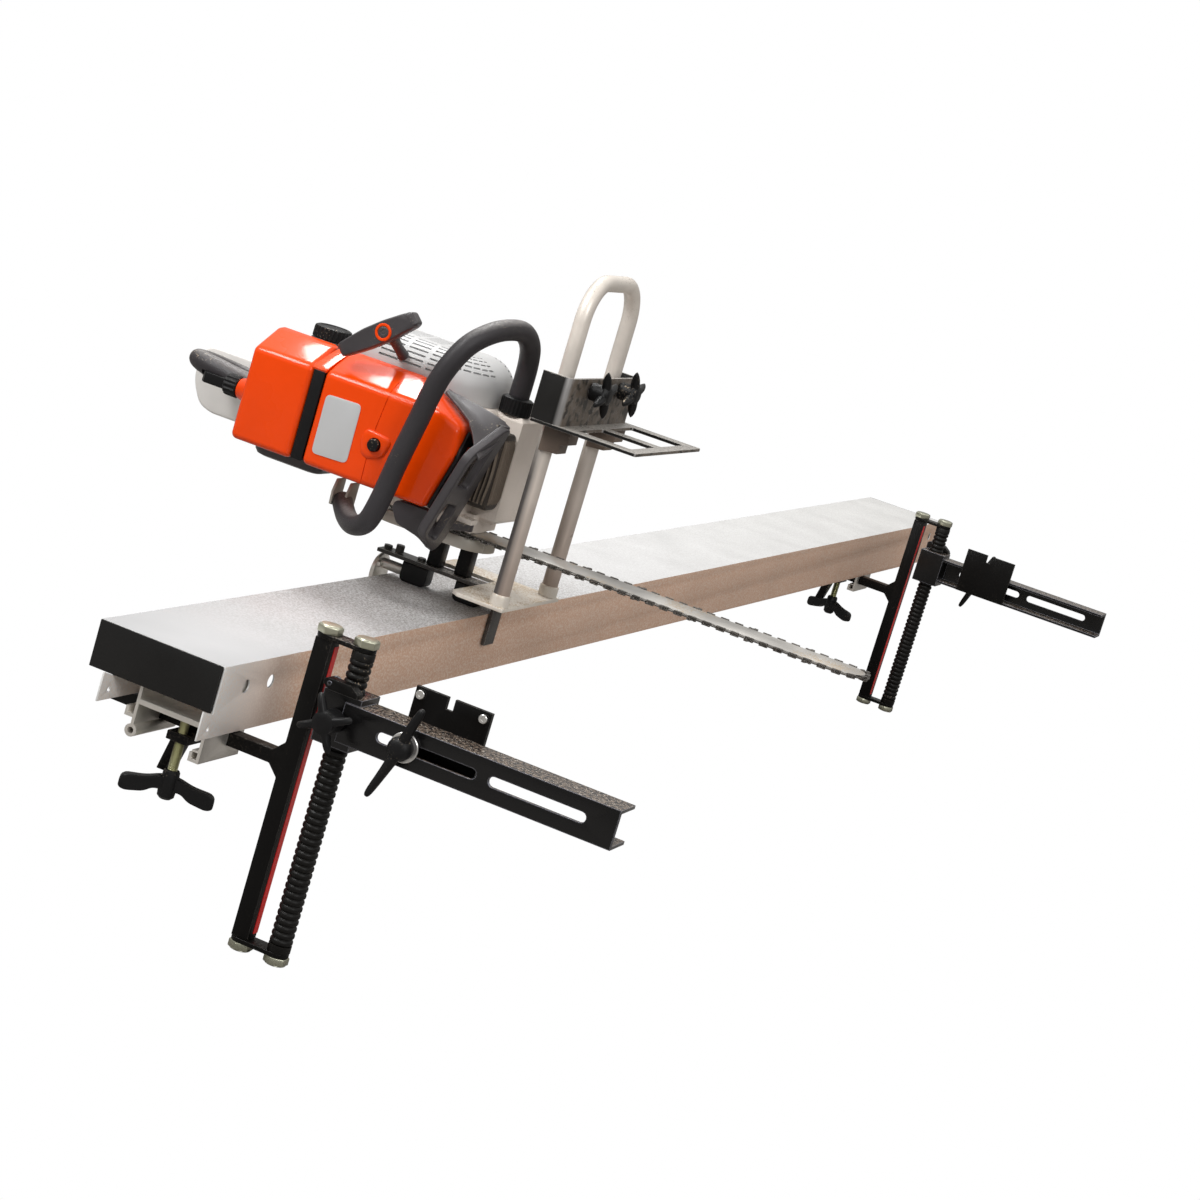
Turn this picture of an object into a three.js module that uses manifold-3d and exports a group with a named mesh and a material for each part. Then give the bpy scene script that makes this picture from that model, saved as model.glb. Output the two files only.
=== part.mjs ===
// A chainsaw mill: a long guide rail carried by a bracket at each end of a log, a carriage that
// slides along the rail, and a chainsaw that lies on its side on the carriage with its bar level.
// Millimetres. X runs along the rail, Y away from the log and Z up.
import * as THREE from 'three';
import { mergeVertices } from 'three/addons/utils/BufferGeometryUtils.js';
import Module from 'manifold-3d';

const wasm = await Module();
wasm.setup();

// Sizes that every section shares
const clearance = 0.3;
const overrun = 2;
const weldTolerance = 0.001;
const fullTurn = 2 * Math.PI;
const quarterTurn = Math.PI / 2;

// Solids: three.js geometry in, manifold booleans, three.js geometry out
function solid(geometry) {
  const bare = new THREE.BufferGeometry();
  bare.setAttribute('position', geometry.getAttribute('position').clone());
  if (geometry.index) bare.setIndex(geometry.index.clone());
  const merged = mergeVertices(bare, weldTolerance);
  return new wasm.Manifold(new wasm.Mesh({
    numProp: 3,
    vertProperties: new Float32Array(merged.getAttribute('position').array),
    triVerts: new Uint32Array(merged.index.array),
  }));
}

function joined(...solids) {
  return solids.reduce((whole, next) => whole.add(next));
}

function cut(body, ...tools) {
  return tools.reduce((rest, tool) => rest.subtract(tool), body);
}

function geometryOf(manifold) {
  const mesh = manifold.getMesh();
  const geometry = new THREE.BufferGeometry();
  geometry.setAttribute('position', new THREE.BufferAttribute(new Float32Array(mesh.vertProperties),
    mesh.numProp));
  geometry.setIndex(new THREE.BufferAttribute(new Uint32Array(mesh.triVerts), 1));
  const flat = geometry.toNonIndexed();
  flat.computeVertexNormals();
  return flat;
}

// A box between two corners
function box(low, high) {
  const size = high.map((value, i) => value - low[i]);
  const geometry = new THREE.BoxGeometry(...size);
  geometry.translate(...low.map((value, i) => value + size[i] / 2));
  return solid(geometry);
}

// Turns a geometry built along Z so that it runs along the named axis
function turnTo(geometry, axis) {
  const basis = new THREE.Matrix4();
  if (axis === 'x') basis.set(0, 0, 1, 0, 1, 0, 0, 0, 0, 1, 0, 0, 0, 0, 0, 1);
  if (axis === 'y') basis.set(1, 0, 0, 0, 0, 0, -1, 0, 0, 1, 0, 0, 0, 0, 0, 1);
  geometry.applyMatrix4(basis);
  return geometry;
}

// A rod along an axis; at gives its two other coordinates, as (y, z), (x, z) or (x, y)
function rod(axis, at, from, to, radius, sides = 20, endRadius = radius) {
  const geometry = new THREE.CylinderGeometry(endRadius, radius, Math.abs(to - from), sides);
  geometry.rotateX(quarterTurn);
  const middle = (from + to) / 2;
  geometry.translate(at[0], at[1], axis === 'y' ? -middle : middle);
  return solid(turnTo(geometry, axis));
}

// A rod between any two points
function strut(from, to, radius, sides) {
  const start = new THREE.Vector3(...from);
  const along = new THREE.Vector3(...to).sub(start);
  const geometry = new THREE.CylinderGeometry(radius, radius, along.length(), sides);
  geometry.translate(0, along.length() / 2, 0);
  geometry.applyQuaternion(new THREE.Quaternion().setFromUnitVectors(new THREE.Vector3(0, 1, 0),
    along.normalize()));
  geometry.translate(...from);
  return solid(geometry);
}

// A flat outline of (y, z), (x, z) or (x, y) points, given a thickness along the axis
function slab(axis, outline, from, to, bevel = 0) {
  const curved = outline instanceof THREE.Shape;
  const shape = curved ? outline : new THREE.Shape(outline.map(([u, v]) => new THREE.Vector2(u, v)));
  const geometry = new THREE.ExtrudeGeometry(shape, {
    depth: to - from - 2 * bevel,
    curveSegments: 6,
    bevelEnabled: bevel > 0,
    bevelThickness: bevel,
    bevelSize: bevel,
    bevelOffset: -bevel,
    bevelSegments: 1,
  });
  geometry.translate(0, 0, axis === 'y' ? -to + bevel : from + bevel);
  return solid(turnTo(geometry, axis));
}

// A round tube along a smooth curve through the given points
function pipe(points, radius, sides, steps, tension = 0.5) {
  const route = new THREE.CatmullRomCurve3(points.map((p) => new THREE.Vector3(...p)), false, 'catmullrom',
    tension);
  const section = new THREE.Shape();
  for (let i = 0; i < sides; i += 1) {
    const angle = (fullTurn * i) / sides;
    const point = [radius * Math.cos(angle), radius * Math.sin(angle)];
    if (i === 0) section.moveTo(...point);
    else section.lineTo(...point);
  }
  return solid(new THREE.ExtrudeGeometry(section, { steps, extrudePath: route, bevelEnabled: false }));
}

// Outlines
function rectangle(u0, v0, u1, v1) {
  return [[u0, v0], [u1, v0], [u1, v1], [u0, v1]];
}

// A straight slot or bar with round ends, from one end centre to the other
function stadium(a, b, radius, steps = 6) {
  const heading = Math.atan2(b[1] - a[1], b[0] - a[0]);
  const points = [];
  [[b, heading - quarterTurn], [a, heading + quarterTurn]].forEach(([centre, start]) => {
    for (let i = 0; i <= steps; i += 1) {
      const angle = start + (Math.PI * i) / steps;
      points.push([centre[0] + radius * Math.cos(angle), centre[1] + radius * Math.sin(angle)]);
    }
  });
  return points;
}

// A knob outline with arms that narrow to blunt tips
function star(centre, tipRadius, rootRadius, armCount, tipHalfWidth, turn) {
  const points = [];
  for (let arm = 0; arm < armCount; arm += 1) {
    const along = turn + (fullTurn * arm) / armCount;
    const between = along + fullTurn / armCount / 2;
    [-1, 1].forEach((side) => {
      points.push([
        centre[0] + tipRadius * Math.cos(along) - side * tipHalfWidth * Math.sin(along),
        centre[1] + tipRadius * Math.sin(along) + side * tipHalfWidth * Math.cos(along),
      ]);
    });
    points.push([centre[0] + rootRadius * Math.cos(between), centre[1] + rootRadius * Math.sin(between)]);
  }
  return points;
}

// A toothed round outline, for ribbed caps
function ribbedRound(centre, outerRadius, ribDepth, ribCount) {
  const points = [];
  for (let i = 0; i < 2 * ribCount; i += 1) {
    const radius = i % 2 ? outerRadius - ribDepth : outerRadius;
    const angle = (Math.PI * i) / ribCount;
    points.push([centre[0] + radius * Math.cos(angle), centre[1] + radius * Math.sin(angle)]);
  }
  return points;
}

// Colours and finishes
function finish(color, roughness, metalness) {
  return new THREE.MeshStandardMaterial({ color, roughness, metalness });
}
const finishes = {
  zincSheet: finish(0xc9c8c6, 0.35, 0.85),
  aluminium: finish(0xd4ccc0, 0.4, 0.8),
  blackSteel: finish(0x1b1b1c, 0.5, 0.3),
  blackPlastic: finish(0x17181a, 0.55, 0),
  zincPlate: finish(0xb9b37f, 0.3, 0.9),
  tubePaint: finish(0xcfc6ba, 0.45, 0.1),
  orangeShell: finish(0xee4310, 0.3, 0),
  greyShell: finish(0xd2d2d0, 0.5, 0),
  darkShell: finish(0x47454a, 0.55, 0),
  handleRubber: finish(0x4c4a4c, 0.7, 0),
  barSteel: finish(0xb5b2ac, 0.35, 0.9),
  chainSteel: finish(0x33302d, 0.45, 0.8),
};

const mill = new THREE.Group();
function place(parent, name, body, material) {
  const mesh = new THREE.Mesh(geometryOf(body), material);
  mesh.name = name;
  parent.add(mesh);
  return mesh;
}

// GUIDE RAIL: one folded zinc-coated sheet, with a black cover at each end.
// The origin of all rail sizes is the deck's top corner at the near end, on the log's side.
const logLength = 2377;
const railBeyondLog = 583;
const rail = {
  length: logLength + railBeyondLog,
  width: 150,
  flangeDepth: 78,
  sheet: 2,
  stepDepth: 51,
  stepWidth: 28,
  tabReach: 22,
  tabHeight: 25.5,
  tabTipHeight: 32,
  tabHoleRadius: 3,
  tabHoleReach: 3.5,
  tabHoleInset: 11,
  holeRadius: 7.5,
  holeDrop: 27,
  firstHoleInset: 59,
  holePitch: 56,
};
const rightEnd = rail.length;
{
  const foot = -rail.flangeDepth;
  const inner = rail.sheet;
  const across = rail.width;
  const step = -rail.stepDepth;
  const lower = across - rail.stepWidth;
  const profile = [
    [0, foot], [inner, foot], [inner, -inner], [across - inner, -inner], [across - inner, step + inner],
    [lower - inner, step + inner], [lower - inner, foot], [lower, foot], [lower, step], [across, step],
    [across, 0], [0, 0],
  ];
  let deck = slab('x', profile, 0, rail.length);
  const holes = [];
  [0, rightEnd].forEach((end) => {
    const inward = end === 0 ? 1 : -1;
    const tabTip = end - inward * rail.tabReach;
    const root = end + inward * overrun;
    const outline = [[tabTip, foot], [root, foot], [root, foot + rail.tabHeight],
      [tabTip, foot + rail.tabTipHeight]];
    if (inward < 0) outline.reverse();
    [[0, inner], [lower - inner, lower]].forEach(([low, high]) => {
      deck = joined(deck, slab('y', outline, low, high));
    });
    const first = end + inward * rail.firstHoleInset;
    [first, first + inward * rail.holePitch].forEach((x) => {
      holes.push(rod('y', [x, -rail.holeDrop], -overrun, across + overrun, rail.holeRadius, 16));
    });
    const tabHole = [end - inward * rail.tabHoleReach, foot + rail.tabHoleInset];
    holes.push(rod('y', tabHole, -overrun, across + overrun, rail.tabHoleRadius, 12));
  });
  place(mill, 'rail_deck', cut(deck, ...holes), finishes.zincSheet);
}

const endCover = { thickness: 2.5, lipReach: 3.4 };
function endCoverPlate(end, inward) {
  const face = end - inward * clearance;
  const front = face - inward * endCover.thickness;
  const lipEnd = end + inward * endCover.lipReach;
  const inset = rail.sheet + clearance;
  const foot = -rail.stepDepth;
  const plate = box(
    [Math.min(face, front), inset, foot],
    [Math.max(face, front), rail.width, 0],
  );
  const lip = box(
    [Math.min(front, lipEnd), inset, foot + inset],
    [Math.max(front, lipEnd), rail.width - inset, foot + inset + endCover.thickness],
  );
  return joined(plate, lip);
}
place(mill, 'near_end_cover', endCoverPlate(0, 1), finishes.blackSteel);
place(mill, 'far_end_cover', endCoverPlate(rightEnd, -1), finishes.blackSteel);

// BRACKETS: the same bracket stands at each end of the log, mirrored, so each is built at the
// near end and the far one is turned about the plane halfway between them.
const clip = {
  start: 4,
  length: 88,
  side: 3.5,
  width: 86,
  wall: 3.5,
  webDrop: 66,
  webThickness: 5.5,
  depth: 108,
  hookReach: 13,
  hookHeight: 10,
  finDrop: 95,
  finReach: 7,
  finThickness: 2,
  channelRadius: 7,
  channelBore: 3.6,
  sideHookDrop: 84,
  sideHookReach: 10,
  sideHookHeight: 7,
};
const crossArm = { front: 58, size: 20, height: 15, drop: 79, outerReach: 148, fit: 0.5 };
const column = { size: 20, offset: 60, top: 51, bottom: -282, gusset: 12 };
const columnX = crossArm.front + crossArm.size / 2;
const columnY = -column.offset - column.size / 2;

const rack = { radius: 12.5, rootRadius: 10.6, offset: 43, ribCount: 42, sides: 8, plainEnd: 8 };
const rackY = columnY - rack.offset;

const tie = { thickness: 5, width: 24, headRadius: 13.8, headHeight: 9 };

const slideArm = {
  webFront: 44,
  thickness: 4,
  depth: 41,
  height: 42.5,
  start: -118,
  end: -433,
  slotHeight: 11.2,
  slotDrop: 21,
  slots: [[-161, -276], [-290, -400]],
};
const sleeve = { halfWidth: 22, above: 7, below: 50, fit: 0.5 };
const armBack = slideArm.webFront + slideArm.depth;

const lockKnob = { radius: 31.5, rootRadius: 9, tipHalfWidth: 3.4, hubRadius: 11, front: 12, thickness: 11,
  bevel: 1 };
lockKnob.shankRadius = 4;
lockKnob.turn = 0.42;

const pawl = {
  front: 40,
  width: 14,
  pivotRadius: 2.5,
  pivotFit: 0.3,
  pivotY: -97,
  pivotRise: 7,
  length: 34,
  height: 10,
  tail: 7,
  chamfer: 2,
  earThickness: 3.5,
  earHalfWidth: 6,
};

const logPlate = {
  thickness: 5,
  halfWidth: 44,
  middle: -216,
  top: 34,
  bottom: -42,
  notchOffset: 3,
  notchWidth: 8,
  notchDepth: 13,
  screwInset: 7.5,
  screwRadius: 5,
  screwHeight: 4,
  bossRadius: 9,
};
const logFaceX = armBack + clearance + logPlate.thickness;

const wingBolt = {
  y: -194,
  washerRadius: 16,
  washerThickness: 3,
  shankRadius: 5,
  hubRadius: 9.5,
  front: 22,
  armTip: [[-175, -75], [-208, 23]],
  armRadius: 5.5,
  armThickness: 9,
  armBevel: 2,
};

const clampScrew = {
  x: 44,
  y: 48.5,
  radius: 5.5,
  bottom: -137,
  hubRadius: 9.5,
  hubHeight: 29,
  wingReach: 51,
  wingTop: -145,
  wingTipTop: -152,
  wingTipFoot: -168,
  wingStep: 25,
  wingStepHeight: 6,
  wingThickness: 13,
  wingBevel: 2,
  turn: 25,
};
const clampJaw = { start: 34, end: 80, thickness: 9.5, halfWidth: 13, tailBottom: -143, tailThickness: 10,
  tailX: 52 };

function hexHead(x, y, from, to) {
  return rod('z', [x, y], from, to, tie.headRadius, 6);
}

// The aluminium clip under the deck, which the black cross arm slides through
function railClip() {
  const c = clip;
  const left = c.side;
  const right = c.side + c.width;
  const top = -rail.sheet - clearance;
  const end = c.start + c.length;
  const bar = (y0, z0, y1, z1) => box([c.start, y0, z0], [end, y1, z1]);
  const channelAt = [right - c.wall / 2, c.channelRadius - c.depth];
  const section = joined(
    bar(left, -c.depth, left + c.wall, top),
    bar(right - c.wall, channelAt[1], right, top),
    bar(left, -c.webDrop - c.webThickness, right, -c.webDrop),
    bar(left, -c.depth, left + c.hookReach, c.wall - c.depth),
    bar(left + c.hookReach - c.wall, -c.depth, left + c.hookReach, c.hookHeight - c.depth),
    bar(left, -c.finDrop - c.finThickness, left + c.wall + c.finReach, -c.finDrop),
    bar(right - c.wall, -c.sideHookDrop - c.wall, right + c.sideHookReach, -c.sideHookDrop),
    bar(right + c.sideHookReach - c.wall, -c.sideHookDrop - c.wall, right + c.sideHookReach,
      c.sideHookHeight - c.sideHookDrop),
    rod('x', channelAt, c.start, end, c.channelRadius, 16),
  );
  const bore = rod('x', channelAt, c.start - overrun, end + overrun, c.channelBore, 12);
  const window = box(
    [crossArm.front - crossArm.fit, left - overrun, -crossArm.drop - crossArm.height - crossArm.fit],
    [crossArm.front + crossArm.size + crossArm.fit, right + c.sideHookReach + overrun,
      -crossArm.drop + crossArm.fit],
  );
  return cut(section, bore, window);
}

// The black weldment: a cross arm under the rail and the upright column at its end
function bracketFrame() {
  const back = crossArm.front + crossArm.size;
  const armTop = -crossArm.drop;
  const armBottom = armTop - crossArm.height;
  const face = -column.offset;
  const arm = box([crossArm.front, face - overrun, armBottom], [back, crossArm.outerReach, armTop]);
  const post = box([crossArm.front, face - column.size, column.bottom], [back, face, column.top]);
  const upper = [[face - overrun, armTop - overrun], [face + column.gusset, armTop - overrun],
    [face + column.gusset, armTop], [face, armTop + column.gusset], [face - overrun, armTop + column.gusset]];
  const lower = upper.map(([y, z]) => [y, armTop + armBottom - z]).reverse();
  return joined(arm, post, slab('x', upper, crossArm.front, back), slab('x', lower, crossArm.front, back));
}

// The ribbed rack that the slotted arm climbs
function rackBar() {
  const ribbed = column.top - column.bottom - 2 * rack.plainEnd;
  const pitch = ribbed / rack.ribCount;
  const profile = [new THREE.Vector2(0, column.bottom), new THREE.Vector2(rack.radius, column.bottom)];
  for (let i = 0; i < rack.ribCount; i += 1) {
    const start = column.bottom + rack.plainEnd + i * pitch;
    profile.push(new THREE.Vector2(rack.radius, start));
    profile.push(new THREE.Vector2(rack.rootRadius, start + pitch / 2));
  }
  profile.push(new THREE.Vector2(rack.radius, column.top - rack.plainEnd));
  profile.push(new THREE.Vector2(rack.radius, column.top));
  profile.push(new THREE.Vector2(0, column.top));
  const lathe = new THREE.LatheGeometry(profile, rack.sides);
  lathe.rotateX(quarterTurn);
  lathe.translate(columnX, rackY, 0);
  return solid(lathe);
}

// A flat tie with the heads of the two bolts that hold column and rack
function tiePlate(from, outward) {
  const start = from + outward * clearance;
  const end = start + outward * tie.thickness;
  const headEnd = end + outward * tie.headHeight;
  const strap = stadium([columnX, rackY], [columnX, columnY], tie.width / 2);
  const plate = slab('z', strap, Math.min(start, end), Math.max(start, end));
  const heads = [columnY, rackY].map((y) => {
    const root = end - outward * clearance;
    return hexHead(columnX, y, Math.min(root, headEnd), Math.max(root, headEnd));
  });
  return joined(plate, ...heads);
}

// The slotted arm: a folded channel with a sleeve that runs on the rack
function slottedArm() {
  const front = slideArm.webFront;
  const inner = front + slideArm.thickness;
  const bottom = -slideArm.height;
  const back = armBack;
  const channel = [
    [front, bottom], [back, bottom], [back, bottom + slideArm.thickness],
      [inner, bottom + slideArm.thickness],
    [inner, -slideArm.thickness], [back, -slideArm.thickness], [back, 0], [front, 0],
  ];
  const body = slab('y', channel, slideArm.end, slideArm.start);
  const boreRadius = rack.radius + sleeve.fit;
  const block = box(
    [columnX - sleeve.halfWidth, rackY - sleeve.halfWidth, -sleeve.below],
    [columnX + sleeve.halfWidth, rackY + sleeve.halfWidth, sleeve.above],
  );
  const slotZ = -slideArm.slotDrop;
  const slotRadius = slideArm.slotHeight / 2;
  const slots = slideArm.slots.map(([start, end]) => slab(
    'x',
    stadium([end + slotRadius, slotZ], [start - slotRadius, slotZ], slotRadius),
    front - overrun,
    inner + overrun,
  ));
  const ear = slab(
    'x',
    stadium([pawl.pivotY, sleeve.above], [pawl.pivotY, sleeve.above + pawl.pivotRise], pawl.earHalfWidth),
    pawl.front + pawl.width + clearance,
    pawl.front + pawl.width + clearance + pawl.earThickness,
  );
  const pin = rod(
    'x',
    [pawl.pivotY, sleeve.above + pawl.pivotRise],
    pawl.front - clearance,
    pawl.front + pawl.width + clearance + pawl.earThickness / 2,
    pawl.pivotRadius,
    10,
  );
  const bore = rod('z', [columnX, rackY], -sleeve.below - overrun, sleeve.above + pawl.earHalfWidth,
    boreRadius, 20);
  const knobHole = rod('x', [rackY, slotZ], front - overrun, columnX, lockKnob.shankRadius + clearance, 12);
  const lower = joined(body, block);
  return joined(cut(lower, bore, knobHole, ...slots), cut(ear, bore), pin);
}

// The four-armed knob that locks the sleeve on the rack
function lockingKnob() {
  const at = [rackY, -slideArm.slotDrop];
  const hubEnd = columnX - sleeve.halfWidth - clearance - slideArm.thickness;
  const arms = slab(
    'x',
    star(at, lockKnob.radius, lockKnob.rootRadius, 4, lockKnob.tipHalfWidth, lockKnob.turn),
    lockKnob.front,
    lockKnob.front + lockKnob.thickness,
    lockKnob.bevel,
  );
  const hub = rod('x', at, lockKnob.front + overrun, hubEnd, lockKnob.hubRadius, 14);
  const shank = rod('x', at, hubEnd - overrun, columnX - rack.radius - clearance, lockKnob.shankRadius, 10);
  return joined(arms, hub, shank);
}

// The small latch on top of the sleeve
function latchPawl() {
  const pivot = [pawl.pivotY, sleeve.above + pawl.pivotRise];
  const foot = sleeve.above + clearance;
  const head = pivot[1] + pawl.height / 2;
  const nose = pawl.pivotY - pawl.length;
  const outline = [
    [pawl.pivotY + pawl.tail, pivot[1] - pawl.chamfer], [pawl.pivotY + pawl.tail, head - pawl.chamfer],
    [pawl.pivotY + pawl.tail / 2, head], [nose + pawl.height, head], [nose, pivot[1] - pawl.chamfer],
    [nose, foot], [pawl.pivotY, foot],
  ];
  const body = slab('x', outline.reverse(), pawl.front, pawl.front + pawl.width);
  const hole = rod('x', pivot, pawl.front - overrun, pawl.front + pawl.width + overrun,
    pawl.pivotRadius + pawl.pivotFit, 10);
  return cut(body, hole);
}

// The plate that is screwed to the log's end, with the boss that the wing bolt clamps
function logEndPlate() {
  const front = armBack + clearance;
  const left = logPlate.middle - logPlate.halfWidth;
  const right = logPlate.middle + logPlate.halfWidth;
  const notchMiddle = logPlate.middle + logPlate.notchOffset;
  const notchLow = logPlate.top - logPlate.notchDepth;
  const outline = [
    [left, logPlate.bottom], [right, logPlate.bottom], [right, logPlate.top],
    [notchMiddle + logPlate.notchWidth / 2, logPlate.top], [notchMiddle + logPlate.notchWidth / 2, notchLow],
    [notchMiddle - logPlate.notchWidth / 2, notchLow], [notchMiddle - logPlate.notchWidth / 2, logPlate.top],
    [left, logPlate.top],
  ];
  const plate = slab('x', outline, front, logFaceX);
  const at = [wingBolt.y, -slideArm.slotDrop];
  const bossFront = slideArm.webFront + slideArm.thickness + clearance;
  const boss = rod('x', at, bossFront, front + overrun, logPlate.bossRadius, 14);
  const bore = rod('x', at, bossFront - overrun, front, wingBolt.shankRadius + clearance, 12);
  const screws = [left + logPlate.screwInset, right - logPlate.screwInset].map((y) => rod(
    'x',
    [y, logPlate.top - logPlate.screwInset],
    front - logPlate.screwHeight,
    front + overrun / 2,
    logPlate.screwRadius,
    12,
  ));
  return joined(cut(joined(plate, boss), bore), ...screws);
}

// The long-armed wing bolt that clamps the log plate in the slot
function wingBoltSolid() {
  const at = [wingBolt.y, -slideArm.slotDrop];
  const washerBack = slideArm.webFront - clearance;
  const washerFront = washerBack - wingBolt.washerThickness;
  const washer = rod('x', at, washerFront, washerBack, wingBolt.washerRadius, 20);
  const shank = rod('x', at, washerFront, armBack - overrun, wingBolt.shankRadius, 12);
  const hub = rod('x', at, wingBolt.front, washerFront + overrun / 2, wingBolt.hubRadius, 14);
  const arms = slab('x', stadium(...wingBolt.armTip, wingBolt.armRadius, 5), wingBolt.front,
    wingBolt.front + wingBolt.armThickness, wingBolt.armBevel);
  return joined(washer, shank, hub, arms);
}

// The clamp screw with its T-handle, and the jaw that it draws against the cross arm
function clampScrewSolid() {
  const at = [clampScrew.x, clampScrew.y];
  const top = -clip.webDrop - clip.webThickness - clearance;
  const hubTop = clampScrew.bottom;
  const hubFoot = hubTop - clampScrew.hubHeight;
  const reach = clampScrew.wingReach;
  const step = clampScrew.wingStep;
  const raised = clampScrew.wingTipFoot + clampScrew.wingStepHeight;
  const side = [
    [-reach, clampScrew.wingTipTop], [-reach, clampScrew.wingTipFoot], [-step, clampScrew.wingTipFoot],
    [clampScrew.wingStepHeight - step, raised],
  ];
  const otherSide = side.slice().reverse().map(([u, z]) => [-u, z]);
  const half = clampScrew.wingThickness / 2;
  const wings = slab('x', [...side, ...otherSide, [0, clampScrew.wingTop]], -half, half,
    clampScrew.wingBevel);
  return joined(
    rod('z', at, hubTop - overrun, top, clampScrew.radius, 14),
    rod('z', at, hubFoot, hubTop, clampScrew.hubRadius, 16),
    wings.rotate([0, 0, clampScrew.turn]).translate([...at, 0]),
  );
}

function clampJawSolid() {
  const top = -crossArm.drop - crossArm.height - clearance;
  const foot = top - clampJaw.thickness;
  const low = clampScrew.y - clampJaw.halfWidth;
  const high = clampScrew.y + clampJaw.halfWidth;
  const block = box([clampJaw.start, low, foot], [clampJaw.end, high, top]);
  const tail = slab('x', [
    [high - clampJaw.tailThickness, top], [high - clampJaw.tailThickness, foot],
    [high, clampJaw.tailBottom], [high + clampJaw.tailThickness, clampJaw.tailBottom],
    [high + overrun, foot], [high, top],
  ], clampJaw.tailX, clampJaw.end);
  const bore = rod('z', [clampScrew.x, clampScrew.y], foot - overrun, top + overrun,
    clampScrew.radius + clearance, 14);
  return cut(joined(block, tail), bore);
}

const bracketPieces = [
  ['rail_clip', railClip, finishes.aluminium],
  ['bracket_frame', bracketFrame, finishes.blackSteel],
  ['rack', rackBar, finishes.blackSteel],
  ['top_tie', () => tiePlate(column.top, 1), finishes.zincPlate],
  ['bottom_tie', () => tiePlate(column.bottom, -1), finishes.zincPlate],
  ['slide_arm', slottedArm, finishes.blackSteel],
  ['lock_knob', lockingKnob, finishes.blackPlastic],
  ['pawl', latchPawl, finishes.blackSteel],
  ['log_plate', logEndPlate, finishes.blackSteel],
  ['wing_bolt', wingBoltSolid, finishes.blackSteel],
  ['clamp_screw', clampScrewSolid, finishes.zincPlate],
  ['clamp_jaw', clampJawSolid, finishes.blackSteel],
];
const mirrorSpan = 2 * logFaceX + logLength;
bracketPieces.forEach(([name, build, material]) => {
  place(mill, `near_${name}`, build(), material);
  const farSide = build().mirror([1, 0, 0]).translate([mirrorSpan, 0, 0]);
  place(mill, `far_${name}`, farSide, material);
});

// CARRIAGE: slides along the deck on two blocks, guided by a plate outside each flange.
// Its sizes along X are measured from the middle of the guide bar.
const carriage = { x: 667, runningGap: 1 };
const carriageGroup = new THREE.Group();
carriageGroup.position.x = carriage.x;
mill.add(carriageGroup);

const slider = { size: 36, depth: 24, x: 33, height: 25, corner: 7, outerY: 111, innerY: 36, bevel: 1.5 };
const beam = { x: 36, width: 30, thickness: 5, outerEnd: 167, hookThickness: 5, hangDepth: 40,
  boltRadius: 6 };
beam.bolts = [[slider.outerY, 4], [143, 10], [159, 5]];
const sliderTop = slider.height;
const beamFoot = sliderTop + clearance;
const beamTop = beamFoot + beam.thickness;

function sliderBlock(y) {
  const half = slider.size / 2;
  const deep = slider.depth / 2;
  const shape = new THREE.Shape();
  const corner = slider.corner;
  const low = clearance;
  shape.moveTo(-half + corner, low);
  shape.lineTo(half - corner, low);
  shape.absarc(half - corner, low + corner, corner, -quarterTurn, 0);
  shape.lineTo(half, sliderTop);
  shape.lineTo(-half, sliderTop);
  shape.absarc(-half + corner, low + corner, corner, -Math.PI, -quarterTurn);
  const block = slab('x', shape, slider.x - deep, slider.x + deep, slider.bevel);
  return block.translate([0, y, 0]);
}
place(carriageGroup, 'outer_slider', sliderBlock(slider.outerY), finishes.blackPlastic);
place(carriageGroup, 'inner_slider', sliderBlock(slider.innerY), finishes.blackPlastic);

// The black cross beam, turned down beside the flange on the log's side
{
  const left = beam.x - beam.width / 2;
  const right = beam.x + beam.width / 2;
  const hookFace = -carriage.runningGap;
  const flat = box([left, hookFace - beam.hookThickness, beamFoot], [right, beam.outerEnd, beamTop]);
  const hook = box([left, hookFace - beam.hookThickness, -beam.hangDepth], [right, hookFace, beamTop]);
  const bolts = beam.bolts.map(([y, height]) => rod(
    'z',
    [beam.x, y],
    beamTop - clearance,
    beamTop + height,
    beam.boltRadius,
    6,
  ));
  place(carriageGroup, 'carriage_beam', joined(flat, hook, ...bolts), finishes.blackSteel);
}

// The round guide plate outside the deck, with its spacer tube and the pad that runs on the deck's side
const sideGuide = { y: 160, thickness: 5, radius: 23, padHalfWidth: 15, padTop: -6, padFoot: -15 };
sideGuide.tubeRadius = 7;
sideGuide.tubeHeight = 11;
sideGuide.boltRadius = 4.5;
sideGuide.boltHeight = 4;
sideGuide.boltPlaces = [[-14, 11], [-15, -11]];
{
  const inner = sideGuide.y;
  const outer = inner + sideGuide.thickness;
  const plate = rod('y', [beam.x, 0], inner, outer, sideGuide.radius, 32);
  const tubeStart = slider.outerY + slider.size / 2 + clearance;
  const tube = rod('y', [beam.x, sideGuide.tubeHeight], tubeStart, inner + clearance, sideGuide.tubeRadius,
    16);
  const pad = box(
    [beam.x - sideGuide.padHalfWidth, rail.width + carriage.runningGap, sideGuide.padFoot],
    [beam.x + sideGuide.padHalfWidth, inner + clearance, sideGuide.padTop],
  );
  const bolts = sideGuide.boltPlaces.map(([x, z]) => rod(
    'y',
    [beam.x + x, z],
    inner - sideGuide.boltHeight,
    inner + clearance,
    sideGuide.boltRadius,
    6,
  ));
  place(carriageGroup, 'side_guide', joined(plate, tube, pad, ...bolts), finishes.zincSheet);
}

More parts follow.
